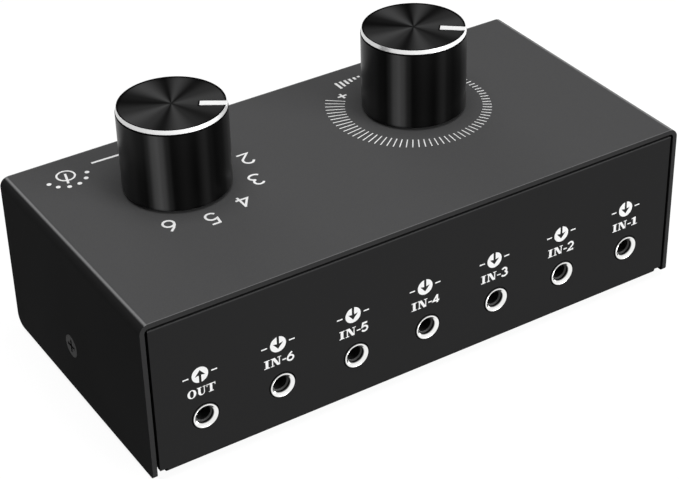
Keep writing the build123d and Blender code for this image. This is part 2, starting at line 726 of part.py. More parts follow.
# The carrier on the shaft: an arm with a bore for a spring and a ball at each end.
carrier_top = selector_housing_top - carrier_gap
carrier_under = carrier_top - carrier_height
arm_middle = (carrier_top + carrier_under) / 2
with BuildPart() as selector_carrier:
    with BuildSketch(level_plane(selector_axis, carrier_under, selector_pointer)):
        Circle(carrier_hub_diameter / 2)
        Rectangle(2 * carrier_arm, carrier_width)
    extrude(amount=carrier_height)
    with BuildSketch(level_plane(selector_axis, carrier_under, selector_pointer)):
        ring_sector(stop_inner, stop_outer, -stop_half_angle, 2 * stop_half_angle)
    extrude(amount=-stop_height)
    with BuildSketch(level_plane(selector_axis, carrier_under - stop_height, selector_pointer)):
        flatted_circle(shaft_diameter / 2 + press_gap, shaft_flat)
    extrude(amount=carrier_height + stop_height, mode=Mode.SUBTRACT)
    for end in (0, 180):
        with BuildSketch(outward_plane(selector_axis, arm_middle, selector_pointer + end, spring_inner)):
            Circle(ball_diameter / 2 + running_gap)
        extrude(amount=carrier_arm, mode=Mode.SUBTRACT)
save(selector_carrier, "selector_detent_carrier")

with BuildPart() as selector_springs:
    spring_length = ball_radius_place - ball_diameter / 2 - spring_inner
    for end in (0, 180):
        with BuildSketch(outward_plane(selector_axis, arm_middle, selector_pointer + end, spring_inner)):
            Circle(ball_diameter / 2 - running_gap)
            Circle(ball_diameter / 2 - running_gap - spring_wire, mode=Mode.SUBTRACT)
        extrude(amount=spring_length)
save(selector_springs, "selector_detent_springs")

with BuildPart() as selector_balls:
    for end in (0, 180):
        with Locations(outward_plane(selector_axis, arm_middle, selector_pointer + end,
                                     ball_radius_place)):
            Sphere(ball_diameter / 2)
save(selector_balls, "selector_detent_balls")

with BuildPart() as selector_wafer:
    with BuildSketch(level_plane(selector_axis, wafer_under)):
        Circle(selector_flange_diameter / 2)
        Circle(rotor_diameter / 2 + rotor_gap, mode=Mode.SUBTRACT)
    extrude(amount=wafer_sheet)
save(selector_wafer, "selector_wafer")

# Twelve switched lugs and two commons, each with a pin down through the control board.
with BuildPart() as selector_lugs:
    for angle in lug_angles:
        with BuildSketch(level_plane(selector_axis, wafer_under, angle)):
            with Locations(((lug_inner + lug_pin_radius) / 2, 0)):
                Rectangle(lug_pin_radius - lug_inner + lug_sheet, lug_width)
        extrude(amount=-lug_sheet)
        with BuildSketch(level_plane(selector_axis, wafer_under, angle)):
            with Locations((lug_pin_radius, 0)):
                Rectangle(lug_sheet, lug_pin_width)
        extrude(amount=-(wafer_under - control_under + pin_length))
save(selector_lugs, "selector_lugs")

with BuildPart() as selector_rotor:
    with BuildSketch(level_plane(selector_axis, rotor_flange_under, selector_pointer)):
        Circle(rotor_flange_diameter / 2)
    extrude(amount=rotor_flange)
    with BuildSketch(level_plane(selector_axis, rotor_flange_top, selector_pointer)):
        Circle(rotor_diameter / 2)
    extrude(amount=selector_housing_under - wiper_gap - rotor_flange_top)
    with BuildSketch(level_plane(selector_axis, rotor_flange_under, selector_pointer)):
        flatted_circle(shaft_diameter / 2 + press_gap, shaft_flat)
    extrude(amount=selector_housing_under - rotor_flange_under, mode=Mode.SUBTRACT)
save(selector_rotor, "selector_rotor")

with BuildPart() as selector_wipers:
    with BuildSketch(level_plane(selector_axis, rotor_flange_top, selector_pointer)):
        for turn in (0, 180):
            ring_sector(wiper_inner, wiper_outer, turn - wiper_angle / 2, wiper_angle)
    extrude(amount=wiper_sheet)
save(selector_wipers, "selector_wipers")

make_shaft("selector", selector_axis, selector_pointer, rotor_flange_under, carrier_top)
make_knob("selector", selector_axis, selector_pointer)

# ------------------------------------------------------------------ volume control
with BuildSketch() as volume_plate_form:
    RectangleRounded(volume_plate_width, volume_plate_width, volume_plate_corner)
    with Locations((0, peg_radius / 2)):
        Rectangle(2 * peg_diameter, peg_radius)
    with Locations((0, peg_radius)):
        Circle(peg_diameter)
make_bushing("volume", volume_axis, volume_thread, volume_plate, volume_plate_form)
make_fastening("volume", volume_axis, volume_thread, volume_nut_flats)

# Two gangs, one above the other: a carrier disc with its wiper over each track.
gang_height = track_gap + carrier_disc + wiper_sheet + wiper_gap + track_sheet
gang_tops = [roof_under - volume_plate - gang * gang_height for gang in range(2)]
disc_tops = [top - track_gap for top in gang_tops]
track_tops = [top - track_gap - carrier_disc - wiper_sheet - wiper_gap for top in gang_tops]
can_inside_under = track_tops[-1] - track_sheet - track_gap
can_under = can_inside_under - can_wall
pin_reaches = (upper_pin_reach, lower_pin_reach)

with BuildPart() as volume_can:
    with BuildSketch(level_plane(volume_axis, can_under)):
        Circle(can_diameter / 2)
    extrude(amount=roof_under - volume_plate - can_under)
    with BuildSketch(level_plane(volume_axis, can_inside_under)):
        Circle(can_diameter / 2 - can_wall)
    extrude(amount=roof_under - volume_plate - can_inside_under, mode=Mode.SUBTRACT)
    with BuildSketch(level_plane(volume_axis, can_inside_under)):
        with Locations((0, -can_diameter / 2)):
            Rectangle(can_window, can_diameter / 2)
    extrude(amount=roof_under - volume_plate - can_inside_under, mode=Mode.SUBTRACT)
save(volume_can, "volume_can")

with BuildPart() as volume_tracks:
    for track_top, reach in zip(track_tops, pin_reaches):
        with BuildSketch(level_plane(volume_axis, track_top)):
            Circle(track_diameter / 2)
            with Locations((0, -(reach + tongue_margin) / 2)):
                Rectangle(track_tongue, reach + tongue_margin)
            Circle(shaft_diameter / 2 + track_hole_gap, mode=Mode.SUBTRACT)
            with Locations((-track_terminal_pitch, -reach), (0, -reach), (track_terminal_pitch, -reach)):
                Rectangle(lug_pin_width + 2 * press_gap, lug_sheet + 2 * press_gap, mode=Mode.SUBTRACT)
        extrude(amount=-track_sheet)
save(volume_tracks, "volume_tracks")

with BuildPart() as volume_terminals:
    for track_top, reach in zip(track_tops, pin_reaches):
        with BuildSketch(level_plane(volume_axis, track_top)):
            with Locations((-track_terminal_pitch, -reach), (0, -reach), (track_terminal_pitch, -reach)):
                Rectangle(lug_pin_width, lug_sheet)
        extrude(amount=-(track_top - control_under + pin_length))
save(volume_terminals, "volume_terminals")

with BuildPart() as volume_carriers:
    for disc_top in disc_tops:
        with BuildSketch(level_plane(volume_axis, disc_top, volume_pointer)):
            Circle(carrier_disc_diameter / 2)
        extrude(amount=-carrier_disc)
        with BuildSketch(level_plane(volume_axis, disc_top, volume_pointer)):
            flatted_circle(shaft_diameter / 2 + press_gap, shaft_flat)
        extrude(amount=-carrier_disc, mode=Mode.SUBTRACT)
save(volume_carriers, "volume_wiper_carriers")

with BuildPart() as volume_wipers:
    for disc_top in disc_tops:
        with BuildSketch(level_plane(volume_axis, disc_top - carrier_disc, volume_pointer)):
            ring_sector(volume_wiper_inner, volume_wiper_outer, -wiper_angle, 2 * wiper_angle)
        extrude(amount=-wiper_sheet)
save(volume_wipers, "volume_wipers")

make_shaft("volume", volume_axis, volume_pointer, can_inside_under + track_gap, disc_tops[0])
make_knob("volume", volume_axis, volume_pointer)
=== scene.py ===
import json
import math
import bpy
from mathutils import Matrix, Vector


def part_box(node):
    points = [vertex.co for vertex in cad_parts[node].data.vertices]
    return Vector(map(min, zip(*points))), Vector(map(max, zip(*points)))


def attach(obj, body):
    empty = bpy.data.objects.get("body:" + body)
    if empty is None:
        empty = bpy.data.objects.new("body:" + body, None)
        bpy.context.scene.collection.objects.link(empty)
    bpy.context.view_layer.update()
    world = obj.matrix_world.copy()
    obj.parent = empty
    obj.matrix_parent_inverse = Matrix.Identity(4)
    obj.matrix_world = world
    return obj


bl_info = {
    "name": "Speaker selector finish",
    "version": (1, 0, 0),
    "blender": (4, 5, 0),
    "location": "View3D > Sidebar > Selector box",
    "description": "Finishes, printed legends and studio for a desktop speaker selector box",
    "category": "Object",
}

import bmesh
import bpy
from bpy.props import FloatProperty, FloatVectorProperty, IntProperty, PointerProperty
from mathutils import Matrix, Vector

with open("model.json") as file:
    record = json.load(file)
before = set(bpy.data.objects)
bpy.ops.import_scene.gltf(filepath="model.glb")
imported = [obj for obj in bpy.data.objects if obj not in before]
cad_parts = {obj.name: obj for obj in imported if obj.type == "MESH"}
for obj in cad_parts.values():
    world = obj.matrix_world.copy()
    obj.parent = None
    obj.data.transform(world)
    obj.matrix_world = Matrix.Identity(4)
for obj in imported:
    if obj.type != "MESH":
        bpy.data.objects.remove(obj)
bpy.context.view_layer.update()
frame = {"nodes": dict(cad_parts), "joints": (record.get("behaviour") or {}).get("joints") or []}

MM = 0.001
JACKS = ["out", "in_6", "in_5", "in_4", "in_3", "in_2", "in_1"]
ROOF_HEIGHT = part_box("top_cover")[1].z
PANEL_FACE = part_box("base_tray")[0].y


def middle(node):
    """The middle of a CAD node's box."""
    low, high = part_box(node)
    return (low + high) / 2


def joint_place(name):
    """A point on a joint's axis."""
    return Vector(next(joint["pos_m"] for joint in frame["joints"] if joint["name"] == name))


def pointer_turn(name, axis):
    """The direction in which a knob's pointer stands at rest, in radians from +X."""
    reach = middle(f"{name}_knob_pointer") - axis
    return math.atan2(reach.y, reach.x)


SELECTOR_AXIS = joint_place("selector_turn")
VOLUME_AXIS = joint_place("volume_turn")
SELECTOR_TURN = pointer_turn("selector", SELECTOR_AXIS)
VOLUME_TURN = pointer_turn("volume", VOLUME_AXIS)


# ------------ sizes and colours to change
# What the colours and most of the lengths here have in common.
TINT = {"subtype": "COLOR", "size": 3, "min": 0.0, "max": 1.0}
LENGTH = {"unit": "LENGTH", "min": 0.0}


class CaseFinish(bpy.types.PropertyGroup):
    """Paint of the folded sheets, with painted highlights and painted shade on some of their faces
    and edges.
    """

    cover_colour: FloatVectorProperty(
        name="Cover", description="Powder coat on the cover", default=(0.08, 0.08, 0.081), **TINT)
    tray_colour: FloatVectorProperty(
        name="Tray", description="Powder coat on the tray and its two panels",
        default=(0.0226, 0.0226, 0.0229), **TINT)
    # Painted shade: the cover's side walls are coloured darker than its roof, because less light
    # falls on them.
    side_shade_colour: FloatVectorProperty(
        name="Cover's sides", description="Powder coat on the cover's side walls, a little thicker",
        default=(0.029, 0.029, 0.0293), **TINT)
    # Painted highlight: a light line along each of the cover's folds, where a fold catches the
    # light.
    fold_highlight_colour: FloatVectorProperty(
        name="Folds", description="Thinner, lighter coat along the cover's folds",
        default=(0.27, 0.27, 0.272), **TINT)
    # Painted highlight: a light line along the roof's front and rear edges.
    lip_highlight_colour: FloatVectorProperty(
        name="Roof's lips", description="Thinner coat along the roof's front and rear edges",
        default=(0.16, 0.16, 0.162), **TINT)
    # Painted shade: the cover's cut ends are coloured darker than its roof.
    end_shade_colour: FloatVectorProperty(
        name="Cut ends", description="Coat on the cover's cut front and rear ends",
        default=(0.036, 0.036, 0.0365), **TINT)
    # Painted highlight: a lighter line round each panel's rim.
    rim_highlight_colour: FloatVectorProperty(
        name="Panel rims", description="Thinner coat round the panels' rims",
        default=(0.08, 0.08, 0.081), **TINT)
    fold_radius: FloatProperty(
        name="Fold radius", description="Outer radius of the cover's folds",
        default=2.2 * MM, **LENGTH)
    # Width of the painted rim highlight.
    rim_width: FloatProperty(
        name="Rim width", description="How far the lighter coat reaches from a panel's rim",
        default=0.4 * MM, **LENGTH)
    grain: FloatProperty(
        name="Grain", description="Size of the powder coat's grain", default=0.35 * MM,
        min=0.01 * MM, unit="LENGTH")


class KnobFinish(bpy.types.PropertyGroup):
    """Anodising, cut bevel and pointer of both knobs, with painted highlights on the spun faces and
    painted reflections round the sides.
    """

    # Painted reflection: brightest tone of the light streaks painted round the knobs' sides.
    side_reflection_tint: FloatVectorProperty(
        name="Anodising", description="Lightest tone of the black anodising",
        default=(0.158, 0.158, 0.159), **TINT)
    # Painted highlight: brightest tone of the light sectors painted on the spun faces.
    face_highlight_tint: FloatVectorProperty(
        name="Spun face", description="Lightest tone of the spun face",
        default=(0.052, 0.052, 0.0525), **TINT)
    bevel_colour: FloatVectorProperty(
        name="Cut bevel", description="Bare metal of the cut bevel",
        default=(0.95, 0.95, 0.95), **TINT)
    bevel_height: FloatProperty(
        name="Bevel height", description="Height of the cut bevel under the crown",
        default=0.92 * MM, **LENGTH)
    bevel_width: FloatProperty(
        name="Bevel width", description="How far the cut bevel leans in",
        default=0.35 * MM, **LENGTH)
    rim_width: FloatProperty(
        name="Rim", description="Dark rim round the spun face", default=0.42 * MM, **LENGTH)
    groove: FloatProperty(
        name="Dark line", description="Width of the dark line under the bevel",
        default=0.4 * MM, **LENGTH)


class LegendSizes(bpy.types.PropertyGroup):
    """Printed numerals, ticks and port legends."""

    ink_colour: FloatVectorProperty(
        name="Ink", description="White printing ink", default=(0.95, 0.95, 0.95), **TINT)
    ink_lift: FloatProperty(
        name="Ink height", description="Thickness of the printed ink", default=0.02 * MM, **LENGTH)
    numeral_height: FloatProperty(
        name="Numeral height", description="Height of the selector's numerals",
        default=4.3 * MM, **LENGTH)
    numeral_stroke: FloatProperty(
        name="Numeral stroke", description="Stroke of the selector's numerals",
        default=0.55 * MM, **LENGTH)
    numeral_radius: FloatProperty(
        name="Numeral circle", description="Radius of the circle that the numerals stand on",
        default=18.3 * MM, **LENGTH)
    tick_radius: FloatProperty(
        name="Tick circle", description="Inner radius of the volume scale",
        default=16.5 * MM, **LENGTH)
    tick_stroke: FloatProperty(
        name="Tick stroke", description="Width of a tick", default=0.25 * MM, **LENGTH)
    tick_count: IntProperty(
        name="Ticks", description="Number of ticks on the volume scale", default=61, min=2)
    port_height: FloatProperty(
        name="Port legend height", description="Cap height of the port legends",
        default=2.15 * MM, **LENGTH)
    disc_diameter: FloatProperty(
        name="Arrow disc", description="Diameter of the arrow discs", default=3.95 * MM, **LENGTH)


class StudioSetup(bpy.types.PropertyGroup):
    """Camera and lamps."""

    azimuth: FloatProperty(
        name="Azimuth", description="Camera's turn from the jack side", subtype="ANGLE",
        default=math.radians(-31.55))
    elevation: FloatProperty(
        name="Elevation", description="Camera's height above the horizon", subtype="ANGLE",
        default=math.radians(33.11))
    roll: FloatProperty(
        name="Roll", description="Camera's roll", subtype="ANGLE", default=math.radians(-1.46))
    distance: FloatProperty(
        name="Distance", description="From the camera to its aim", default=0.453, min=0.01,
        unit="LENGTH")
    aim_height: FloatProperty(
        name="Aim height", description="Height of the camera's aim over the desk",
        default=21.6 * MM, unit="LENGTH")
    focal_pixels: FloatProperty(
        name="Focal length", description="Focal length in pixels of the picture", default=1922.0,
        min=1.0)
    key_power: FloatProperty(
        name="Key lamp", description="Power of the key softbox in watts", default=54.0, min=0.0)
    top_power: FloatProperty(
        name="Top lamp", description="Power of the softbox overhead in watts", default=19.5,
        min=0.0)
    rear_power: FloatProperty(
        name="Rear lamp", description="Power of the softbox behind the case in watts",
        default=20.0, min=0.0)
    fill_strength: FloatProperty(
        name="Fill", description="Strength of the soft light all round", default=0.065, min=0.0)


# ------------ node wiring
class Wires:
    """Adds nodes to a tree and joins them."""

    def __init__(self, tree):
        self.tree = tree

    def feed(self, source, socket):
        """Join an output to an input, or write a plain value or colour on the input."""
        if isinstance(source, bpy.types.NodeSocket):
            self.tree.links.new(source, socket)
        elif socket.type == "RGBA":
            socket.default_value = (*source[:3], 1.0)
        else:
            socket.default_value = source

    def feed_all(self, sockets, sources):
        """Feed several inputs, each by its name or number."""
        for key, source in sources.items():
            self.feed(source, sockets[key])

    def add(self, kind, sources=None, **settings):
        """Add a node, set its plain attributes and feed its inputs."""
        node = self.tree.nodes.new(kind)
        for name, value in settings.items():
            setattr(node, name, value)
        self.feed_all(node.inputs, sources or {})
        return node

    def math(self, operation, *values, clamp=False):
        """A Math node's result."""
        return self.add("ShaderNodeMath", dict(enumerate(values)), operation=operation,
                        use_clamp=clamp).outputs[0]

    def above(self, value, edge, soft):
        """1 where a value is over an edge, 0 where it is under, with a soft step between."""
        return self.add("ShaderNodeMapRange", {"Value": value, "From Min": edge - soft,
                                               "From Max": edge + soft},
                        interpolation_type="SMOOTHSTEP").outputs["Result"]

    def below(self, value, edge, soft):
        """1 where a value is under an edge."""
        return self.math("SUBTRACT", 1.0, self.above(value, edge, soft))

    def both(self, *masks):
        """The product of masks."""
        result = masks[0]
        for mask in masks[1:]:
            result = self.math("MULTIPLY", result, mask)
        return result

    def blend(self, mask, first, second):
        """A colour between two, by a mask."""
        return self.add("ShaderNodeMix", {0: mask, 6: first, 7: second}, data_type="RGBA",
                        clamp_factor=True).outputs[2]

    def between(self, mask, first, second):
        """A value between two, by a mask."""
        return self.add("ShaderNodeMix", {0: mask, 2: first, 3: second}, data_type="FLOAT",
                        clamp_factor=True).outputs[0]

    def diagonal(self, first, second):
        """The distance from a point to an axis, from its two sides."""
        squares = self.math("ADD", self.both(first, first), self.both(second, second))
        return self.math("SQRT", squares)

    def ramp(self, share, stops):
        """A grey ramp round a full turn, through (degrees, brightness) stops."""
        node = self.add("ShaderNodeValToRGB", {"Fac": share})
        node.color_ramp.interpolation = "EASE"
        while len(node.color_ramp.elements) < len(stops):
            node.color_ramp.elements.new(1.0)
        for element, (angle, level) in zip(node.color_ramp.elements, stops):
            element.position = angle / 360.0
            element.color = (level, level, level, 1.0)
        return node.outputs["Color"]

    def split(self, vector):
        """The x, y and z of a vector."""
        return self.add("ShaderNodeSeparateXYZ", {0: vector}).outputs

    def place(self):
        """The x, y and z of a point on the object."""
        return self.split(self.add("ShaderNodeTexCoord").outputs["Object"])

    def effect(self, build, **values):
        """Place an effect's group, which is built at its first use, with its own values."""
        title = build.__name__.replace("_", " ")
        node = self.add("ShaderNodeGroup",
                        node_tree=bpy.data.node_groups.get(title) or build(title))
        for name, value in values.items():
            self.feed(value, node.inputs[name.replace("_", " ").capitalize()])
        return node.outputs

    def bump(self, height, strength, distance):
        """A Bump node's normal."""
        return self.add("ShaderNodeBump", {"Strength": strength, "Distance": distance,
                                           "Height": height}).outputs["Normal"]


def grey(value):
    """A neutral colour."""
    return (value, value, value)


def shade(colour, factor, lift=0.0):
    """A colour made darker or lighter."""
    return tuple(min(1.0, channel * factor + lift) for channel in colour[:3])


def start_effect(title, inputs, outputs):
    """A node group with named sockets, and the wiring inside it. All outputs are plain numbers."""
    tree = bpy.data.node_groups.new(title, "ShaderNodeTree")
    for name, value in inputs.items():
        kind = "NodeSocketVector" if isinstance(value, tuple) else "NodeSocketFloat"
        socket = tree.interface.new_socket(name=name, in_out="INPUT", socket_type=kind)
        socket.default_value = value
    for name in outputs:
        tree.interface.new_socket(name=name, in_out="OUTPUT", socket_type="NodeSocketFloat")
    wires = Wires(tree)
    return tree, wires, wires.add("NodeGroupInput").outputs, wires.add("NodeGroupOutput").inputs


def fine_grain(title):
    """Fine grain: the orange peel of paint or the texture of moulded plastic."""
    tree, wires, given, result = start_effect(
        title, {"Grain size": 0.3 * MM, "Patch size": 12 * MM}, ["Height", "Fleck", "Patch"])
    place = wires.add("ShaderNodeTexCoord").outputs["Object"]
    for output, size, waves, detail in (("Height", "Grain size", 1.0, 3.0),
                                        ("Fleck", "Grain size", 2.3, 0.0),
                                        ("Patch", "Patch size", 1.0, 2.0)):
        scale = wires.math("DIVIDE", waves, given[size])
        noise = wires.add("ShaderNodeTexNoise", {"Vector": place, "Scale": scale, "Detail": detail})
        wires.feed(noise.outputs["Fac"], result[output])
    return tree


def along_edges(title):
    """Masks of a folded box for painted highlights and painted shade: fold lines, side walls,
    bends, roof lips, cut ends, panel rims.
    """
    tree, wires, given, result = start_effect(
        title, {"Low": (0, 0, 0), "High": (1, 1, 1), "Fold radius": MM, "Width": MM},
        ["Fold", "Side", "Bend", "Lip", "End", "Rim"])
    place, low, high = wires.place(), wires.split(given["Low"]), wires.split(given["High"])
    gaps = [wires.math("MINIMUM", wires.math("SUBTRACT", place[axis], low[axis]),
                       wires.math("SUBTRACT", high[axis], place[axis])) for axis in range(3)]
    edge = wires.math("MAXIMUM", gaps[1], wires.math("MINIMUM", gaps[0], gaps[2]))
    rim = wires.math("DIVIDE", edge, given["Width"], clamp=True)
    # Insets from the side and the drop from the roof are shares of the fold's radius.
    inset = wires.math("DIVIDE", gaps[0], given["Fold radius"])
    drop = wires.math("DIVIDE", wires.math("SUBTRACT", high[2], place[2]), given["Fold radius"])
    line_start, line_end, line_drop = 0.62, 0.83, 0.3
    side_end, bend_start = 0.54, 0.1
    lip_width, end_depth = 0.25 * MM, 0.03 * MM
    fold = wires.both(wires.above(inset, line_start, 0.08), wires.below(inset, line_end, 0.08),
                      wires.below(drop, line_drop, 0.05))
    wires.feed_all(result, {
        "Fold": fold,
        "Side": wires.below(inset, side_end, 0.06),
        "Bend": wires.above(inset, bend_start, 0.1),
        "Lip": wires.below(gaps[1], lip_width, 0.05 * MM),
        "End": wires.below(gaps[1], end_depth, 0.02 * MM),
        "Rim": wires.math("SUBTRACT", 1.0, rim)})
    return tree


def round_an_axis(title):
    """Where a point lies round an upright axis: radius, turn, and along and across a pointer."""
    tree, wires, given, result = start_effect(
        title, {"Axis x": 0.0, "Axis y": 0.0, "Turn": 0.0},
        ["Radius", "Share", "Along", "Across", "Height"])
    place = wires.place()
    dx = wires.math("SUBTRACT", place[0], given["Axis x"])
    dy = wires.math("SUBTRACT", place[1], given["Axis y"])
    cosine = wires.math("COSINE", given["Turn"])
    sine = wires.math("SINE", given["Turn"])
    along = wires.math("ADD", wires.both(dx, cosine), wires.both(dy, sine))
    across = wires.math("SUBTRACT", wires.both(dy, cosine), wires.both(dx, sine))
    turn = wires.math("DIVIDE", wires.math("ARCTAN2", across, along), 2 * math.pi)
    wires.feed_all(result, {
        "Radius": wires.diagonal(along, across),
        "Share": wires.math("FRACT", wires.math("ADD", turn, 1.0)),
        "Along": along, "Across": across, "Height": place[2]})
    return tree


def turned_rings(title):
    """Fine rings that a tool leaves on turned metal."""
    tree, wires, given, result = start_effect(
        title, {"Radius": 0.0, "Pitch": 0.1 * MM}, ["Ring"])
    noise = wires.add("ShaderNodeTexNoise", noise_dimensions="1D")
    wires.feed_all(noise.inputs, {
        "W": wires.math("DIVIDE", given["Radius"], given["Pitch"]),
        "Scale": 1.0, "Detail": 4.0, "Roughness": 0.7})
    wires.feed(noise.outputs["Fac"], result["Ring"])
    return tree


def start_material(name):
    """A new material, its wiring and its Principled shader's inputs."""
    material = bpy.data.materials.new(name)
    material.use_nodes = True
    wires = Wires(material.node_tree)
    shader = next(node for node in material.node_tree.nodes if node.type == "BSDF_PRINCIPLED")
    return material, wires, shader.inputs


def grained_material(name, grain_size, patch_size, strength, depth):
    """A new material with fine grain in its bump, and the grain's masks."""
    material, wires, shader = start_material(name)
    grain = wires.effect(fine_grain, grain_size=grain_size, patch_size=patch_size)
    wires.feed(wires.bump(grain["Height"], strength, depth), shader["Normal"])
    return material, wires, shader, grain


def dress(nodes, material):
    """Give CAD nodes a material."""
    for name in nodes:
        slots = frame["nodes"][name].material_slots
        if slots:
            for slot in slots:
                slot.material = material
        else:
            frame["nodes"][name].data.materials.append(material)


# ------------ finishes
def coated_sheet(name, colour, finish, node):
    """Matt powder coat with a fine grain. Highlights are painted lighter along the cover's folds,
    the roof's lips and the panels' rims, and shade is painted darker on the cover's side walls, its
    bends and its cut ends.
    """
    material, wires, shader, grain = grained_material(name, finish.grain, 25 * MM, 0.25, 0.04 * MM)
    low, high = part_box(node)
    edges = wires.effect(along_edges, low=low, high=high, fold_radius=finish.fold_radius,
                         width=finish.rim_width)
    speckle = wires.both(wires.between(grain["Fleck"], 0.88, 1.12),
                         wires.between(grain["Patch"], 0.97, 1.03))
    coat = wires.add("ShaderNodeHueSaturation", {"Value": speckle, "Color": colour}).outputs[0]
    if node == "top_cover":
        # Painted shade: the bend between a side wall and its painted fold highlight is as dark as
        # the tray.
        side = wires.blend(edges["Bend"], finish.side_shade_colour, finish.tray_colour)
        # Painted highlight along the fold line, a little uneven.
        painted_highlight = wires.both(edges["Fold"], wires.between(grain["Patch"], 0.7, 1.0))
        layers = ((edges["Lip"], finish.lip_highlight_colour), (edges["Side"], side),
                  (painted_highlight, finish.fold_highlight_colour), (edges["End"], finish.end_shade_colour))
    else:
        # Painted highlight round the panel's rim, a little uneven.
        painted_highlight = wires.both(edges["Rim"], wires.between(grain["Patch"], 0.6, 1.0))
        layers = ((painted_highlight, finish.rim_highlight_colour),)
    for mask, tint in layers:
        coat = wires.blend(mask, coat, tint)
    wires.feed_all(shader, {"Base Color": coat, "Specular IOR Level": 0.003,
                            "Roughness": wires.between(grain["Patch"], 0.5, 0.62)})
    return material


# Painted highlights round a knob's spun face and painted reflections round its side: (degrees from
# its pointer, brightness).
FACE_HIGHLIGHT_SECTORS = [
    (0, 0.75), (18, 0.87), (43, 0.4), (65, 0.04), (87, 0.8), (104, 0.0), (134, 1.0), (161, 0.1),
    (176, 0.0), (200, 0.4), (222, 1.0), (248, 0.45), (265, 0.05), (287, 0.87), (306, 0.33),
    (325, 0.12), (345, 0.45), (360, 0.75),
]
SIDE_REFLECTION_BANDS = [
    (0, 0.14), (22, 0.03), (60, 0.16), (85, 0.05), (118, 0.02), (150, 0.14), (172, 0.08),
    (198, 0.12), (214, 0.25), (227, 0.25), (240, 0.08), (245, 0.05), (249, 0.2), (255, 0.68),
    (260, 0.74), (264, 0.48), (270, 0.11), (275, 0.01), (286, 0.03), (298, 0.0), (309, 0.06),
    (316, 0.015), (323, 0.0), (334, 0.01), (343, 0.06), (352, 0.1), (360, 0.14),
]


def knob_metal(knob, finish, axis, turn):
    """Black anodised turned metal with a spun face, a bare cut bevel and dark lines beside it.
    Light sectors on the face are painted highlights, and light streaks round the side are painted
    reflections.
    """
    material, wires, shader = start_material(f"{knob}_knob_metal")
    low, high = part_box(f"{knob}_knob_shell")
    crown = high.z
    crown_radius = (high.x - low.x) / 2 - finish.bevel_width
    pointer_start = 2 * (middle(f"{knob}_knob_pointer") - axis).xy.length - crown_radius
    frame_across, frame_along = 1.3 * MM, 0.35 * MM  # dark frame round the pointer
    soft = 0.03 * MM
    ring_pitch = 0.22 * MM
    place = wires.effect(round_an_axis, axis_x=axis.x, axis_y=axis.y, turn=turn)
    rings = wires.effect(turned_rings, radius=place["Radius"], pitch=ring_pitch)
    sides = wires.effect(turned_rings, radius=place["Height"], pitch=ring_pitch)
    face = wires.both(wires.below(place["Radius"], crown_radius - finish.rim_width, soft),
                      wires.above(place["Height"], crown - 3 * finish.rim_width, soft))
    bevel = wires.both(wires.above(place["Height"], crown - finish.bevel_height, soft),
                       wires.above(place["Radius"], crown_radius - soft, soft))
    side = wires.below(place["Height"], crown - finish.bevel_height - finish.groove, 3 * soft)
    width = wires.math("ABSOLUTE", place["Across"])
    beside = wires.both(wires.below(width, frame_across, soft),
                        wires.above(place["Along"], pointer_start - frame_along, soft), face)
    # Painted highlights: the face's painted sectors fade to dark towards its middle.
    centre = wires.above(place["Radius"], 0.6 * MM, 0.6 * MM)
    face_highlights = wires.both(wires.ramp(place["Share"], FACE_HIGHLIGHT_SECTORS),
                           wires.between(rings["Ring"], 0.8, 1.2),
                           wires.between(centre, 0.3, 1.0))
    side_reflections = wires.both(wires.ramp(place["Share"], SIDE_REFLECTION_BANDS),
                           wires.between(sides["Ring"], 0.92, 1.08))
    dark = grey(0.002)
    # Painted reflections: light streaks round the side.
    colour = wires.blend(side, dark, wires.blend(side_reflections, dark, finish.side_reflection_tint))
    # Painted highlights: light sectors on the spun face.
    colour = wires.blend(face, colour, wires.blend(face_highlights, dark, finish.face_highlight_tint))
    colour = wires.blend(beside, colour, dark)
    marks = wires.both(wires.between(face, sides["Ring"], rings["Ring"]),
                       wires.math("SUBTRACT", 1.0, bevel))
    wires.feed_all(shader, {
        "Base Color": wires.blend(bevel, colour, finish.bevel_colour),
        "Metallic": wires.math("MULTIPLY", bevel, 0.5),
        "Roughness": wires.between(bevel, wires.between(rings["Ring"], 0.34, 0.46), 0.2),
        "Specular IOR Level": 0.0025,
        "Coat Weight": side,
        "Coat Roughness": 0.32,
        "Coat IOR": 1.12,
        "Normal": wires.bump(marks, 0.12, 0.02 * MM)})
    return material


def plated_metal(name, colour, roughness, pitch, wear=0.0):
    """Plated or bare metal with fine tool marks and slightly uneven polish."""
    material, wires, shader, grain = grained_material(name, pitch, 3 * MM, 0.1, 0.01 * MM)
    tone = wires.blend(grain["Patch"], shade(colour, 0.82), colour)
    worn = wires.math("MULTIPLY", grain["Fleck"], wear)
    wires.feed_all(shader, {
        "Base Color": wires.blend(worn, tone, grey(0.3)),
        "Metallic": 1.0,
        "Roughness": wires.between(grain["Fleck"], roughness - 0.05, roughness + 0.05)})
    return material


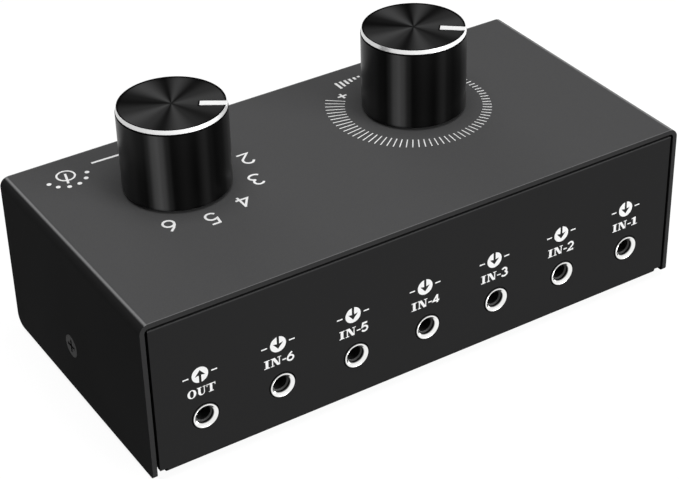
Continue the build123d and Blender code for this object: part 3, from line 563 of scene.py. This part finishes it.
def jack_plating(name, colour, roughness):
    """Nickel plating on the rings of the row of jacks, with painted shade at both edges of a ring:
    towards the bore and at its foot against the panel.
    """
    material, wires, shader, grain = grained_material(name, 0.12 * MM, 3 * MM, 0.1, 0.01 * MM)
    first, last = middle("jack_barrel_out"), middle("jack_barrel_in_1")
    pitch = (last.x - first.x) / (len(JACKS) - 1)
    mouth_radius, foot_radius = 2.2 * MM, 2.98 * MM
    place = wires.place()
    jack = wires.math("DIVIDE", wires.math("SUBTRACT", place[0], first.x), pitch)
    along = wires.math("MULTIPLY", wires.math("SUBTRACT", jack, wires.math("ROUND", jack)), pitch)
    radius = wires.diagonal(along, wires.math("SUBTRACT", place[2], first.z))
    # Painted shade: the ring is dark and dull at its mouth, towards the bore, and at its foot
    # against the panel.
    edge = wires.math("MAXIMUM", wires.below(radius, mouth_radius, 0.1 * MM),
                      wires.above(radius, foot_radius, 0.06 * MM))
    tone = wires.blend(grain["Patch"], shade(colour, 0.86), colour)
    polish = wires.between(grain["Fleck"], roughness - 0.05, roughness + 0.05)
    wires.feed_all(shader, {"Base Color": wires.blend(edge, tone, grey(0.03)), "Metallic": 1.0,
                            "Roughness": wires.between(edge, polish, 0.5)})
    return material


def moulded(name, colour, roughness, grain_size, specular=0.5):
    """Moulded plastic or rubber with a fine texture and a slightly uneven sheen."""
    material, wires, shader, grain = grained_material(name, grain_size, 8 * MM, 0.2, 0.03 * MM)
    wires.feed_all(shader, {
        "Base Color": wires.blend(grain["Patch"], colour, shade(colour, 1.25, 0.002)),
        "Roughness": wires.between(grain["Fleck"], roughness - 0.06, roughness + 0.06),
        "Specular IOR Level": specular})
    return material


def laminate(name, colour):
    """Circuit-board laminate: a woven base under a glossy lacquer."""
    material, wires, shader = start_material(name)
    grain = wires.effect(fine_grain, grain_size=0.6 * MM, patch_size=6 * MM)
    place = wires.place()
    thread = 0.7 * MM
    waves = [wires.math("SINE", wires.math("MULTIPLY", place[axis], 2 * math.pi / thread))
             for axis in (0, 1)]
    weave = wires.both(*(wires.math("MULTIPLY_ADD", wave, 0.5, 0.5) for wave in waves))
    wires.feed_all(shader, {
        "Base Color": wires.blend(weave, colour, shade(colour, 1.6, 0.01)),
        "Roughness": wires.between(grain["Patch"], 0.25, 0.4),
        "Normal": wires.bump(weave, 0.1, 0.02 * MM)})
    return material


def printing_ink(name, colour):
    """Opaque white ink of slightly uneven density."""
    material, wires, shader, grain = grained_material(name, 0.25 * MM, 2 * MM, 0.1, 0.01 * MM)
    wires.feed_all(shader, {
        "Base Color": wires.blend(grain["Fleck"], shade(colour, 0.9), colour),
        "Roughness": wires.between(grain["Patch"], 0.45, 0.6)})
    return material


# ------------ printing
def arc(x, y, radius_x, radius_y, start, end, steps=14):
    """Points along an elliptical arc, in degrees."""
    points = []
    for step in range(steps + 1):
        angle = math.radians(start + (end - start) * step / steps)
        points.append((x + radius_x * math.cos(angle), y + radius_y * math.sin(angle)))
    return points


def rect(left, bottom, right, top):
    """Corners of an upright rectangle."""
    return [(left, bottom), (right, bottom), (right, top), (left, top)]


# Strokes of the plain numerals, in a box 1 high. Each stroke is a line of points.
NUMERALS = {
    "1": [[(0.12, 0.76), (0.38, 1.0), (0.38, 0.0)]],
    "2": [arc(0.34, 0.69, 0.29, 0.31, 160, -38) + [(0.05, 0.0), (0.68, 0.0)]],
    "3": [arc(0.32, 0.755, 0.26, 0.245, 155, -80), arc(0.32, 0.26, 0.32, 0.26, 80, -155)],
    "4": [[(0.72, 0.27), (0.04, 0.27), (0.5, 0.93)], [(0.5, 1.0), (0.5, 0.0)]],
    "5": [[(0.62, 1.0), (0.17, 1.0), (0.1, 0.55)] + arc(0.33, 0.31, 0.31, 0.31, 122, -150)],
    "6": [arc(0.34, 0.3, 0.3, 0.3, 0, 360), [(0.52, 1.0), (0.28, 0.78), (0.09, 0.5), (0.04, 0.3)]],
}


def half_ring(x, y, outer, inner, start, end):
    """Outline of a bowed stroke between two elliptical arcs."""
    return arc(x, y, *outer, start, end) + arc(x, y, *inner, end, start)


def serif_bar(left, right, level, up):
    """A thin serif from left to right on a level."""
    height = 0.09
    return rect(left, level if up else level - height, right, level + height if up else level)


# Outlines of the bold port letters, in a box 1 high, with the width of each. A letter is a
# list of closed outlines.
PORT_LETTERS = {
    "O": (1.0, [half_ring(0.5, 0.5, (0.5, 0.52), (0.22, 0.43), 0, 180),
                half_ring(0.5, 0.5, (0.5, 0.52), (0.22, 0.43), 180, 360)]),
    "U": (1.0, [rect(0.12, 0.34, 0.4, 1.0), serif_bar(0.0, 0.52, 1.0, False),
                rect(0.78, 0.34, 0.88, 1.0), serif_bar(0.66, 1.0, 1.0, False),
                arc(0.5, 0.34, 0.38, 0.36, 180, 360) + arc(0.59, 0.34, 0.19, 0.26, 360, 180)]),
    "T": (1.0, [rect(0.36, 0.0, 0.64, 1.0), serif_bar(0.22, 0.78, 0.0, True),
                rect(0.0, 0.9, 1.0, 1.0), rect(0.0, 0.7, 0.08, 0.9), rect(0.92, 0.7, 1.0, 0.9)]),
    "I": (0.56, [rect(0.14, 0.0, 0.42, 1.0), serif_bar(0.0, 0.56, 0.0, True),
                 serif_bar(0.0, 0.56, 1.0, False)]),
    "N": (1.08, [rect(0.13, 0.0, 0.24, 1.0), rect(0.84, 0.0, 0.94, 1.0),
                 [(0.13, 1.0), (0.66, 0.0), (0.94, 0.0), (0.44, 1.0)],
                 serif_bar(0.0, 0.36, 0.0, True), serif_bar(0.0, 0.36, 1.0, False),
                 serif_bar(0.7, 1.08, 1.0, False)]),
    "-": (0.4, [rect(0.0, 0.33, 0.4, 0.47)]),
    "1": (0.7, [rect(0.2, 0.0, 0.5, 1.0), serif_bar(0.0, 0.7, 0.0, True),
                [(0.0, 0.78), (0.24, 0.84), (0.24, 1.0), (0.0, 0.9)]]),
}
PORT_DIGIT = 0.72  # width of a digit that is drawn with the numerals' strokes
PORT_GAP = 0.1
PORT_STROKE = 0.21


class Sheet:
    """Flat printing on a face: outlines and strokes become one thin mesh."""

    def __init__(self, name, origin, along, upward):
        self.name = name
        self.origin = Vector(origin)
        self.along = Vector(along).normalized()
        self.upward = Vector(upward).normalized()
        self.mesh = bmesh.new()
        self.lift = self.mesh.verts.layers.float.new("lift")
        self.shapes = 0

    def dab(self, points, corner, size=(1.0, 1.0)):
        """Corners of the next shape. Each shape's ink is a hair thicker than the last one's."""
        hair, layers = 0.0015 * MM, 8
        vertices = []
        for point in points:
            x, y = corner[0] + point[0] * size[0], corner[1] + point[1] * size[1]
            vertex = self.mesh.verts.new(self.origin + self.along * x + self.upward * y)
            vertex[self.lift] = (self.shapes % layers) * hair
            vertices.append(vertex)
        return vertices

    def outline(self, points, corner=(0.0, 0.0), size=(1.0, 1.0)):
        """Fill a closed outline."""
        kept = [point for index, point in enumerate(points) if point != points[index - 1]]
        self.mesh.faces.new(self.dab(kept, corner, size))
        self.shapes += 1

    def stroke(self, points, width, corner=(0.0, 0.0), size=(1.0, 1.0)):
        """Fill a stroke of constant width along a line of points, with mitred corners."""
        line = [Vector((point[0] * size[0], point[1] * size[1])) for point in points]
        closed = (line[0] - line[-1]).length < 1e-7
        if closed:
            line = line[:-1]
        sides = []
        count = len(line)
        for index, point in enumerate(line):
            before = line[index - 1] if closed or index else point
            after = line[(index + 1) % count] if closed or index < count - 1 else point
            into = (point - before if point != before else after - point).normalized()
            out = (after - point if after != point else point - before).normalized()
            across = Vector((-(into + out).y, (into + out).x)).normalized()
            stretch = 1.0 / max(0.5, across.dot(Vector((-into.y, into.x))))
            reach = across * width / 2 * stretch
            sides.append((point + reach, point - reach))
        placed = [self.dab(pair, corner) for pair in sides]
        for index in range(count if closed else count - 1):
            first, second = placed[index], placed[(index + 1) % count]
            self.mesh.faces.new((first[0], first[1], second[1], second[0]))
        self.shapes += 1

    def print(self, body="case"):
        """Turn what was drawn into a piece of thin ink that rides on the case."""
        outward = self.along.cross(self.upward)
        thickness = bpy.context.scene.legend_sizes.ink_lift
        self.mesh.normal_update()
        for face in self.mesh.faces:
            if face.normal.dot(outward) < 0:
                face.normal_flip()
        lifted = bmesh.ops.extrude_face_region(self.mesh, geom=self.mesh.faces[:])
        for vertex in lifted["geom"]:
            if isinstance(vertex, bmesh.types.BMVert):
                vertex.co += outward * (thickness + vertex[self.lift])
        bmesh.ops.triangulate(self.mesh, faces=self.mesh.faces[:])
        bmesh.ops.recalc_face_normals(self.mesh, faces=self.mesh.faces[:])
        data = bpy.data.meshes.new(self.name)
        self.mesh.to_mesh(data)
        self.mesh.free()
        piece = bpy.data.objects.new(self.name, data)
        bpy.context.scene.collection.objects.link(piece)
        data.materials.append(ink())
        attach(piece, body)


def top_sheet(name, axis):
    """A sheet on the cover's top round an axis, read from the far side of the case."""
    return Sheet(name, (axis.x, axis.y, ROOF_HEIGHT), (-1, 0, 0), (0, -1, 0))


def panel_sheet(name):
    """A sheet on the jack panel, with its origin at the middle of the row of jacks."""
    return Sheet(name, (0.0, PANEL_FACE, middle("jack_barrel_out").z), (1, 0, 0), (0, 0, 1))


def ink():
    """The printing ink, made at its first use."""
    name = "white_printing_ink"
    return bpy.data.materials.get(name) or printing_ink(
        name, bpy.context.scene.legend_sizes.ink_colour)


def printed_legend(text, sheet, width, height, centre):
    """Bold port lettering, centred, stretched to a width."""
    places = []
    advance = 0.0
    for letter in text:
        places.append(advance)
        advance += PORT_LETTERS[letter][0] if letter in PORT_LETTERS else PORT_DIGIT
        advance += PORT_GAP
    scale = width / (advance - PORT_GAP)
    for letter, place in zip(text, places):
        corner = (centre[0] - width / 2 + place * scale, centre[1] - height / 2)
        if letter in PORT_LETTERS:
            for points in PORT_LETTERS[letter][1]:
                sheet.outline(points, corner, (scale, height))
        else:
            for points in NUMERALS[letter]:
                sheet.stroke(points, PORT_STROKE * height, corner, (scale, height))


# ------------ operators
class BOX_OT_coat_case(bpy.types.Operator):
    """Coat the cover and the tray, and finish the side screws and the feet"""

    bl_idname = "selector_box.coat_case"
    bl_label = "Coat the case"

    def execute(self, context):
        finish = context.scene.case_finish
        for name, colour, node in (("cover_coat", finish.cover_colour, "top_cover"),
                                   ("tray_coat", finish.tray_colour, "base_tray")):
            dress([node], coated_sheet(name, colour, finish, node))
        dress(["cover_screws"], moulded("blackened_steel", grey(0.026), 0.38, 0.2 * MM, 0.02))
        dress(["rubber_feet"], moulded("foot_rubber", grey(0.018), 0.75, 0.25 * MM, 0.3))
        return {"FINISHED"}


class BOX_OT_plate_jacks(bpy.types.Operator):
    """Plate the seven jack rings and finish their housings and contacts"""

    bl_idname = "selector_box.plate_jacks"
    bl_label = "Plate the jacks"

    def execute(self, context):
        dress([f"jack_barrel_{name}" for name in JACKS],
              jack_plating("jack_nickel", (0.92, 0.92, 0.91), 0.16))
        dress([f"jack_housing_{name}" for name in JACKS],
              moulded("housing_plastic", grey(0.012), 0.4, 0.15 * MM))
        dress([f"jack_contacts_{name}" for name in JACKS],
              plated_metal("tinned_brass", (0.78, 0.75, 0.68), 0.3, 0.1 * MM))
        return {"FINISHED"}


class BOX_OT_turn_knobs(bpy.types.Operator):
    """Finish both knobs: shells, cores and pointers"""

    bl_idname = "selector_box.turn_knobs"
    bl_label = "Finish the knobs"

    def execute(self, context):
        finish = context.scene.knob_finish
        for name, axis, turn in (("selector", SELECTOR_AXIS, SELECTOR_TURN),
                                 ("volume", VOLUME_AXIS, VOLUME_TURN)):
            dress([f"{name}_knob_shell"], knob_metal(name, finish, axis, turn))
        dress(["selector_knob_pointer", "volume_knob_pointer"],
              printing_ink("pointer_paint", finish.bevel_colour))
        dress(["selector_knob_core", "volume_knob_core"],
              moulded("knob_core_plastic", grey(0.014), 0.5, 0.2 * MM))
        return {"FINISHED"}


class BOX_OT_finish_controls(bpy.types.Operator):
    """Finish the working parts of the selector and the volume control"""

    bl_idname = "selector_box.finish_controls"
    bl_label = "Finish the controls"

    def execute(self, context):
        steel = plated_metal("zinc_plated_steel", (0.62, 0.62, 0.58), 0.34, 0.3 * MM, 0.06)
        black = moulded("black_phenolic_plastic", grey(0.016), 0.45, 0.2 * MM)
        natural = moulded("natural_plastic", (0.78, 0.77, 0.72), 0.4, 0.2 * MM)
        contact = plated_metal("contact_brass", (0.8, 0.72, 0.5), 0.28, 0.1 * MM)
        brown = laminate("brown_laminate", (0.22, 0.1, 0.04))
        for name in ("selector", "volume"):
            dress([f"{name}_{part}" for part in ("bushing", "washer", "nut", "shaft")], steel)
            dress([f"{name}_wipers"], contact)
        dress(["volume_can", "selector_detent_springs", "selector_detent_balls"], steel)
        dress(["selector_housing"], black)
        dress(["selector_detent_carrier", "selector_rotor", "volume_wiper_carriers"], natural)
        dress(["selector_lugs", "volume_terminals"], contact)
        dress(["selector_wafer", "volume_tracks"], brown)
        return {"FINISHED"}


class BOX_OT_finish_boards(bpy.types.Operator):
    """Finish both circuit boards, their fasteners and the ribbon cable"""

    bl_idname = "selector_box.finish_boards"
    bl_label = "Finish the boards"

    def execute(self, context):
        dress(["main_board", "control_board"], laminate("board_laminate", (0.012, 0.09, 0.03)))
        dress(["board_standoffs", "board_screws"],
              plated_metal("board_steel", (0.66, 0.66, 0.62), 0.3, 0.2 * MM, 0.05))
        dress(["ribbon_header", "ribbon_socket"],
              moulded("connector_plastic", (0.015, 0.015, 0.016), 0.42, 0.15 * MM))
        dress(["ribbon_pins"], plated_metal("pin_gold", (0.85, 0.66, 0.3), 0.22, 0.1 * MM))
        dress(["ribbon_cable"], moulded("ribbon_vinyl", (0.36, 0.36, 0.38), 0.5, 0.3 * MM))
        return {"FINISHED"}


class BOX_OT_print_selector(bpy.types.Operator):
    """Print the selector's numerals, its leader line and a plain six-way symbol"""

    bl_idname = "selector_box.print_selector"
    bl_label = "Print the selector's legends"

    places: IntProperty(name="Places", description="Places of the selector", default=6, min=1)
    step: FloatProperty(name="Step", description="Turn between two places", subtype="ANGLE",
                        default=math.radians(30.0))
    rest_place: IntProperty(name="Rest place", description="Place that the pointer stands at",
                            default=3, min=1)
    rest_angle: FloatProperty(name="Rest angle", description="Angle of that place's numeral",
                              subtype="ANGLE", default=math.radians(-31.5))
    circle_offset: FloatProperty(name="Circle offset", unit="LENGTH", default=1.4 * MM,
                                 description="Numerals' circle behind the knob's axis")

    def print_numerals(self, sizes):
        """The places' numerals, upright on a circle round the knob."""
        sheet = top_sheet("selector_numerals", SELECTOR_AXIS)
        height = sizes.numeral_height
        for place in range(1, self.places + 1):
            angle = self.rest_angle - (place - self.rest_place) * self.step
            corner = (-sizes.numeral_radius * math.cos(angle) - 0.36 * height,
                      -self.circle_offset - sizes.numeral_radius * math.sin(angle) - 0.5 * height)
            for points in NUMERALS[str(place)]:
                sheet.stroke(points, sizes.numeral_stroke, corner, (height, height))
        sheet.print()

    def print_line(self):
        """The leader line beside the knob."""
        sheet = top_sheet("selector_leader_line", SELECTOR_AXIS)
        sheet.stroke([(4.9 * MM, -19.1 * MM), (12.1 * MM, -19.3 * MM)], 0.65 * MM)
        sheet.print()

    def print_symbol(self):
        """A ring with a pointer inside an arc of one dot for each place."""
        sheet = top_sheet("selector_symbol", SELECTOR_AXIS)
        hub = Vector((19.4 * MM, -17.6 * MM))
        dot_radius, dot_circle, first_dot = 0.55 * MM, 4.9 * MM, math.radians(15.0)
        ring_radius, ring_stroke = 2.1 * MM, 0.45 * MM
        pointer_tail, pointer_tip, pointer_stroke = 0.9 * MM, 3.4 * MM, 0.55 * MM
        for place in range(self.places):
            turn = first_dot + place * self.step
            dot = hub + dot_circle * Vector((math.cos(turn), math.sin(turn)))
            sheet.outline(arc(*dot, dot_radius, dot_radius, 0, 348, 29))
        aim = first_dot + (self.rest_place - 1) * self.step
        reach = Vector((math.cos(aim), math.sin(aim)))
        sheet.stroke(arc(*hub, ring_radius, ring_radius, 0, 360, 36), ring_stroke)
        sheet.stroke([hub - pointer_tail * reach, hub + pointer_tip * reach], pointer_stroke)
        sheet.print()

    def execute(self, context):
        self.print_numerals(context.scene.legend_sizes)
        self.print_line()
        self.print_symbol()
        return {"FINISHED"}


class BOX_OT_print_volume(bpy.types.Operator):
    """Print the volume scale, which grows clockwise, with its plus and minus"""

    bl_idname = "selector_box.print_volume"
    bl_label = "Print the volume scale"

    start: FloatProperty(name="Start", description="Angle of the first tick", subtype="ANGLE",
                         default=math.radians(40.0))
    sweep: FloatProperty(name="Sweep", description="Clockwise turn to the last tick",
                         subtype="ANGLE", default=math.radians(260.0))
    first_length: FloatProperty(name="First tick", description="Length of the first tick",
                                default=1.05 * MM, unit="LENGTH")
    last_length: FloatProperty(name="Last tick", description="Length of the last tick",
                               default=4.85 * MM, unit="LENGTH")

    def print_scale(self, sizes):
        """Ticks round the knob, each a little longer than the last."""
        sheet = top_sheet("volume_scale", VOLUME_AXIS)
        for tick in range(sizes.tick_count):
            share = tick / (sizes.tick_count - 1)
            angle = self.start - share * self.sweep
            length = self.first_length + share * (self.last_length - self.first_length)
            outward = Vector((-math.cos(angle), -math.sin(angle)))
            sheet.stroke([outward * sizes.tick_radius, outward * (sizes.tick_radius + length)],
                         sizes.tick_stroke)
        sheet.print()

    def print_signs(self):
        """A plus at the loud end of the scale and a minus at the quiet end."""
        sheet = top_sheet("volume_signs", VOLUME_AXIS)
        arm, stroke, radius = 1.2 * MM, 0.55 * MM, 17.8 * MM
        loud, quiet = math.radians(132.0), math.radians(51.0)
        for angle, arms in ((loud, ((arm, 0), (0, arm))), (quiet, ((arm, 0),))):
            centre = Vector((-radius * math.cos(angle), -radius * math.sin(angle)))
            for reach in arms:
                sheet.stroke([centre - Vector(reach), centre + Vector(reach)], stroke)
        sheet.print()

    def print_bars(self):
        """Six rising bars behind the knob."""
        sheet = top_sheet("volume_bars", VOLUME_AXIS)
        count, width, pitch, rise = 6, 0.65 * MM, 1.3 * MM, 0.48 * MM
        start, foot, lowest_top = 9.6 * MM, -19.6 * MM, -18.9 * MM
        for bar in range(count):
            left = start - pitch * bar
            sheet.outline(rect(left, foot, left + width, lowest_top + rise * (count - 1 - bar)))
        sheet.print()

    def execute(self, context):
        self.print_scale(context.scene.legend_sizes)
        self.print_signs()
        self.print_bars()
        return {"FINISHED"}


class BOX_OT_print_ports(bpy.types.Operator):
    """Print an arrow disc with two dashes and a legend over each jack"""

    bl_idname = "selector_box.print_ports"
    bl_label = "Print the port legends"

    disc_rise: FloatProperty(name="Disc height", description="Of a disc's middle over the jack",
                             default=11.2 * MM, unit="LENGTH")
    legend_rise: FloatProperty(
        name="Legend height", description="Of a legend's middle over the jack",
        default=6.9 * MM, unit="LENGTH")
    shift: FloatProperty(name="Shift", description="Of a disc's middle along the row",
                         default=-0.65 * MM, unit="LENGTH")

    def arrow_disc(self, radius, upward):
        """Outline of a disc with an arrow cut in from its edge."""
        shaft, head, tip, neck = 0.15 * radius, 0.64 * radius, 0.6 * radius, -0.06 * radius
        barb = neck - 0.1 * radius
        notch = math.degrees(math.asin(shaft / radius))
        points = arc(0.0, 0.0, radius, radius, notch - 90, 270 - notch, 40)
        points += [(-shaft, neck), (-head, barb), (0.0, tip), (head, barb), (shaft, neck)]
        if upward:
            return points
        return [(x, -y) for x, y in reversed(points)]

    def execute(self, context):
        sizes = context.scene.legend_sizes
        discs = panel_sheet("port_discs")
        legends = panel_sheet("port_legends")
        radius = sizes.disc_diameter / 2
        dash_inner, dash_length, dash_stroke = radius + 0.75 * MM, 1.4 * MM, 0.32 * MM
        output_width, input_width, legend_shift = 6.7 * MM, 7.45 * MM, 0.1 * MM
        for name in JACKS:
            x = middle(f"jack_barrel_{name}").x + self.shift
            discs.outline(self.arrow_disc(radius, name == "out"), (x, self.disc_rise))
            for side in (-1, 1):
                discs.stroke([(x + side * dash_inner, self.disc_rise),
                              (x + side * (dash_inner + dash_length), self.disc_rise)],
                             dash_stroke)
            printed_legend(name.upper().replace("_", "-"), legends,
                           output_width if name == "out" else input_width, sizes.port_height,
                           (x + legend_shift, self.legend_rise))
        discs.print()
        legends.print()
        return {"FINISHED"}


class BOX_OT_set_stage(bpy.types.Operator):
    """Set up the floor, the world, the lamps and the camera"""

    bl_idname = "selector_box.set_stage"
    bl_label = "Set the stage"

    def seen_white(self, wires):
        """1 for rays from the camera, from gloss and through glass."""
        rays = wires.add("ShaderNodeLightPath").outputs
        seen = wires.math("MAXIMUM", rays["Is Camera Ray"], rays["Is Glossy Ray"])
        return wires.math("MAXIMUM", seen, rays["Is Transmission Ray"])

    def make_world(self, scene, strength):
        """Soft grey light all round that is seen as white."""
        world = bpy.data.worlds.new("studio_world")
        scene.world = world
        world.use_nodes = True
        world.node_tree.nodes.clear()
        wires = Wires(world.node_tree)
        fill = wires.add("ShaderNodeBackground", {"Color": grey(0.9), "Strength": strength})
        white = wires.add("ShaderNodeBackground", {"Color": grey(1.0)})
        chosen = wires.add("ShaderNodeMixShader", {
            0: self.seen_white(wires), 1: fill.outputs[0], 2: white.outputs[0]})
        wires.add("ShaderNodeOutputWorld", {"Surface": chosen.outputs[0]})

    def make_floor(self, scene):
        """A wide pale floor that keeps the object's shadow."""
        mesh = bpy.data.meshes.new("floor")
        build = bmesh.new()
        bmesh.ops.create_circle(build, cap_ends=True, segments=96, radius=3.0)
        build.to_mesh(mesh)
        build.free()
        floor = bpy.data.objects.new("floor", mesh)
        scene.collection.objects.link(floor)
        material, wires, shader = start_material("pale_floor")
        grain = wires.effect(fine_grain, grain_size=2 * MM, patch_size=200 * MM)
        whiteness = 0.93
        wires.feed_all(shader, {
            "Base Color": wires.blend(grain["Patch"], grey(0.115), grey(0.125)),
            "Roughness": 0.9,
            "Specular IOR Level": 0.0,
            "Emission Color": grey(1.0),
            "Emission Strength": wires.math("MULTIPLY", self.seen_white(wires), whiteness)})
        mesh.materials.append(material)

    def make_lamp(self, scene, name, place, power, width, height):
        """A softbox that faces the middle of the object."""
        aim = Vector((0, 0, 0.03))
        lamp = bpy.data.lights.new(name, "AREA")
        lamp.shape = "RECTANGLE"
        lamp.size = width
        lamp.size_y = height
        lamp.energy = power
        holder = bpy.data.objects.new(name, lamp)
        scene.collection.objects.link(holder)
        holder.location = place
        holder.rotation_euler = (aim - Vector(place)).to_track_quat("-Z", "Y").to_euler()

    def make_camera(self, scene, setup):
        """The camera at the photograph's viewing angle."""
        azimuth, elevation = setup.azimuth, setup.elevation
        back = Vector((math.sin(azimuth) * math.cos(elevation),
                       -math.cos(azimuth) * math.cos(elevation), math.sin(elevation)))
        data = bpy.data.cameras.new("camera")
        width, height = 679, 479
        centre_x, centre_y = 345.0, 225.9  # where the lens's axis meets the picture, in pixels
        data.sensor_width = 36.0
        data.lens = setup.focal_pixels * data.sensor_width / width
        data.shift_x = (width / 2 - centre_x) / width
        data.shift_y = (centre_y - height / 2) / width
        data.clip_start = 0.01
        data.clip_end = 20.0
        camera = bpy.data.objects.new("camera", data)
        scene.collection.objects.link(camera)
        place = Matrix.Translation(Vector((0, 0, setup.aim_height)) + back * setup.distance)
        facing = (-back).to_track_quat("-Z", "Y").to_matrix().to_4x4()
        camera.matrix_world = place @ facing @ Matrix.Rotation(setup.roll, 4, "Z")
        scene.camera = camera

    def execute(self, context):
        scene = context.scene
        setup = scene.studio_setup
        scene.view_settings.view_transform = "Standard"
        self.make_world(scene, setup.fill_strength)
        self.make_floor(scene)
        self.make_lamp(scene, "key_softbox", (0.96, -2.04, 0.55), setup.key_power, 1.5, 0.8)
        self.make_lamp(scene, "top_softbox", (-0.05, -0.15, 1.64), setup.top_power, 1.2, 1.2)
        self.make_lamp(scene, "rear_softbox", (0.2, 1.95, 0.3), setup.rear_power, 1.2, 0.4)
        self.make_camera(scene, setup)
        return {"FINISHED"}


class BOX_PT_panel(bpy.types.Panel):
    """Lists the steps in the 3D view's sidebar"""

    bl_idname = "BOX_PT_panel"
    bl_label = "Selector box"
    bl_space_type = "VIEW_3D"
    bl_region_type = "UI"
    bl_category = "Selector box"

    def draw(self, context):
        for operator in OPERATORS:
            self.layout.operator(operator.bl_idname)


PROPERTY_GROUPS = {
    "case_finish": CaseFinish,
    "knob_finish": KnobFinish,
    "legend_sizes": LegendSizes,
    "studio_setup": StudioSetup,
}
OPERATORS = [
    BOX_OT_coat_case,
    BOX_OT_plate_jacks,
    BOX_OT_turn_knobs,
    BOX_OT_finish_controls,
    BOX_OT_finish_boards,
    BOX_OT_print_selector,
    BOX_OT_print_volume,
    BOX_OT_print_ports,
    BOX_OT_set_stage,
]


def register():
    for name, group in PROPERTY_GROUPS.items():
        bpy.utils.register_class(group)
        setattr(bpy.types.Scene, name, PointerProperty(type=group))
    for operator in OPERATORS:
        bpy.utils.register_class(operator)
    bpy.utils.register_class(BOX_PT_panel)


def unregister():
    bpy.utils.unregister_class(BOX_PT_panel)
    for operator in reversed(OPERATORS):
        bpy.utils.unregister_class(operator)
    for name, group in reversed(PROPERTY_GROUPS.items()):
        delattr(bpy.types.Scene, name)
        bpy.utils.unregister_class(group)


def main():
    """Run every step in order."""
    register()
    bpy.ops.selector_box.coat_case()
    bpy.ops.selector_box.plate_jacks()
    bpy.ops.selector_box.turn_knobs()
    bpy.ops.selector_box.finish_controls()
    bpy.ops.selector_box.finish_boards()
    bpy.ops.selector_box.print_selector()
    bpy.ops.selector_box.print_volume()
    bpy.ops.selector_box.print_ports()
    bpy.ops.selector_box.set_stage()


if __name__ == "__main__":
    main()
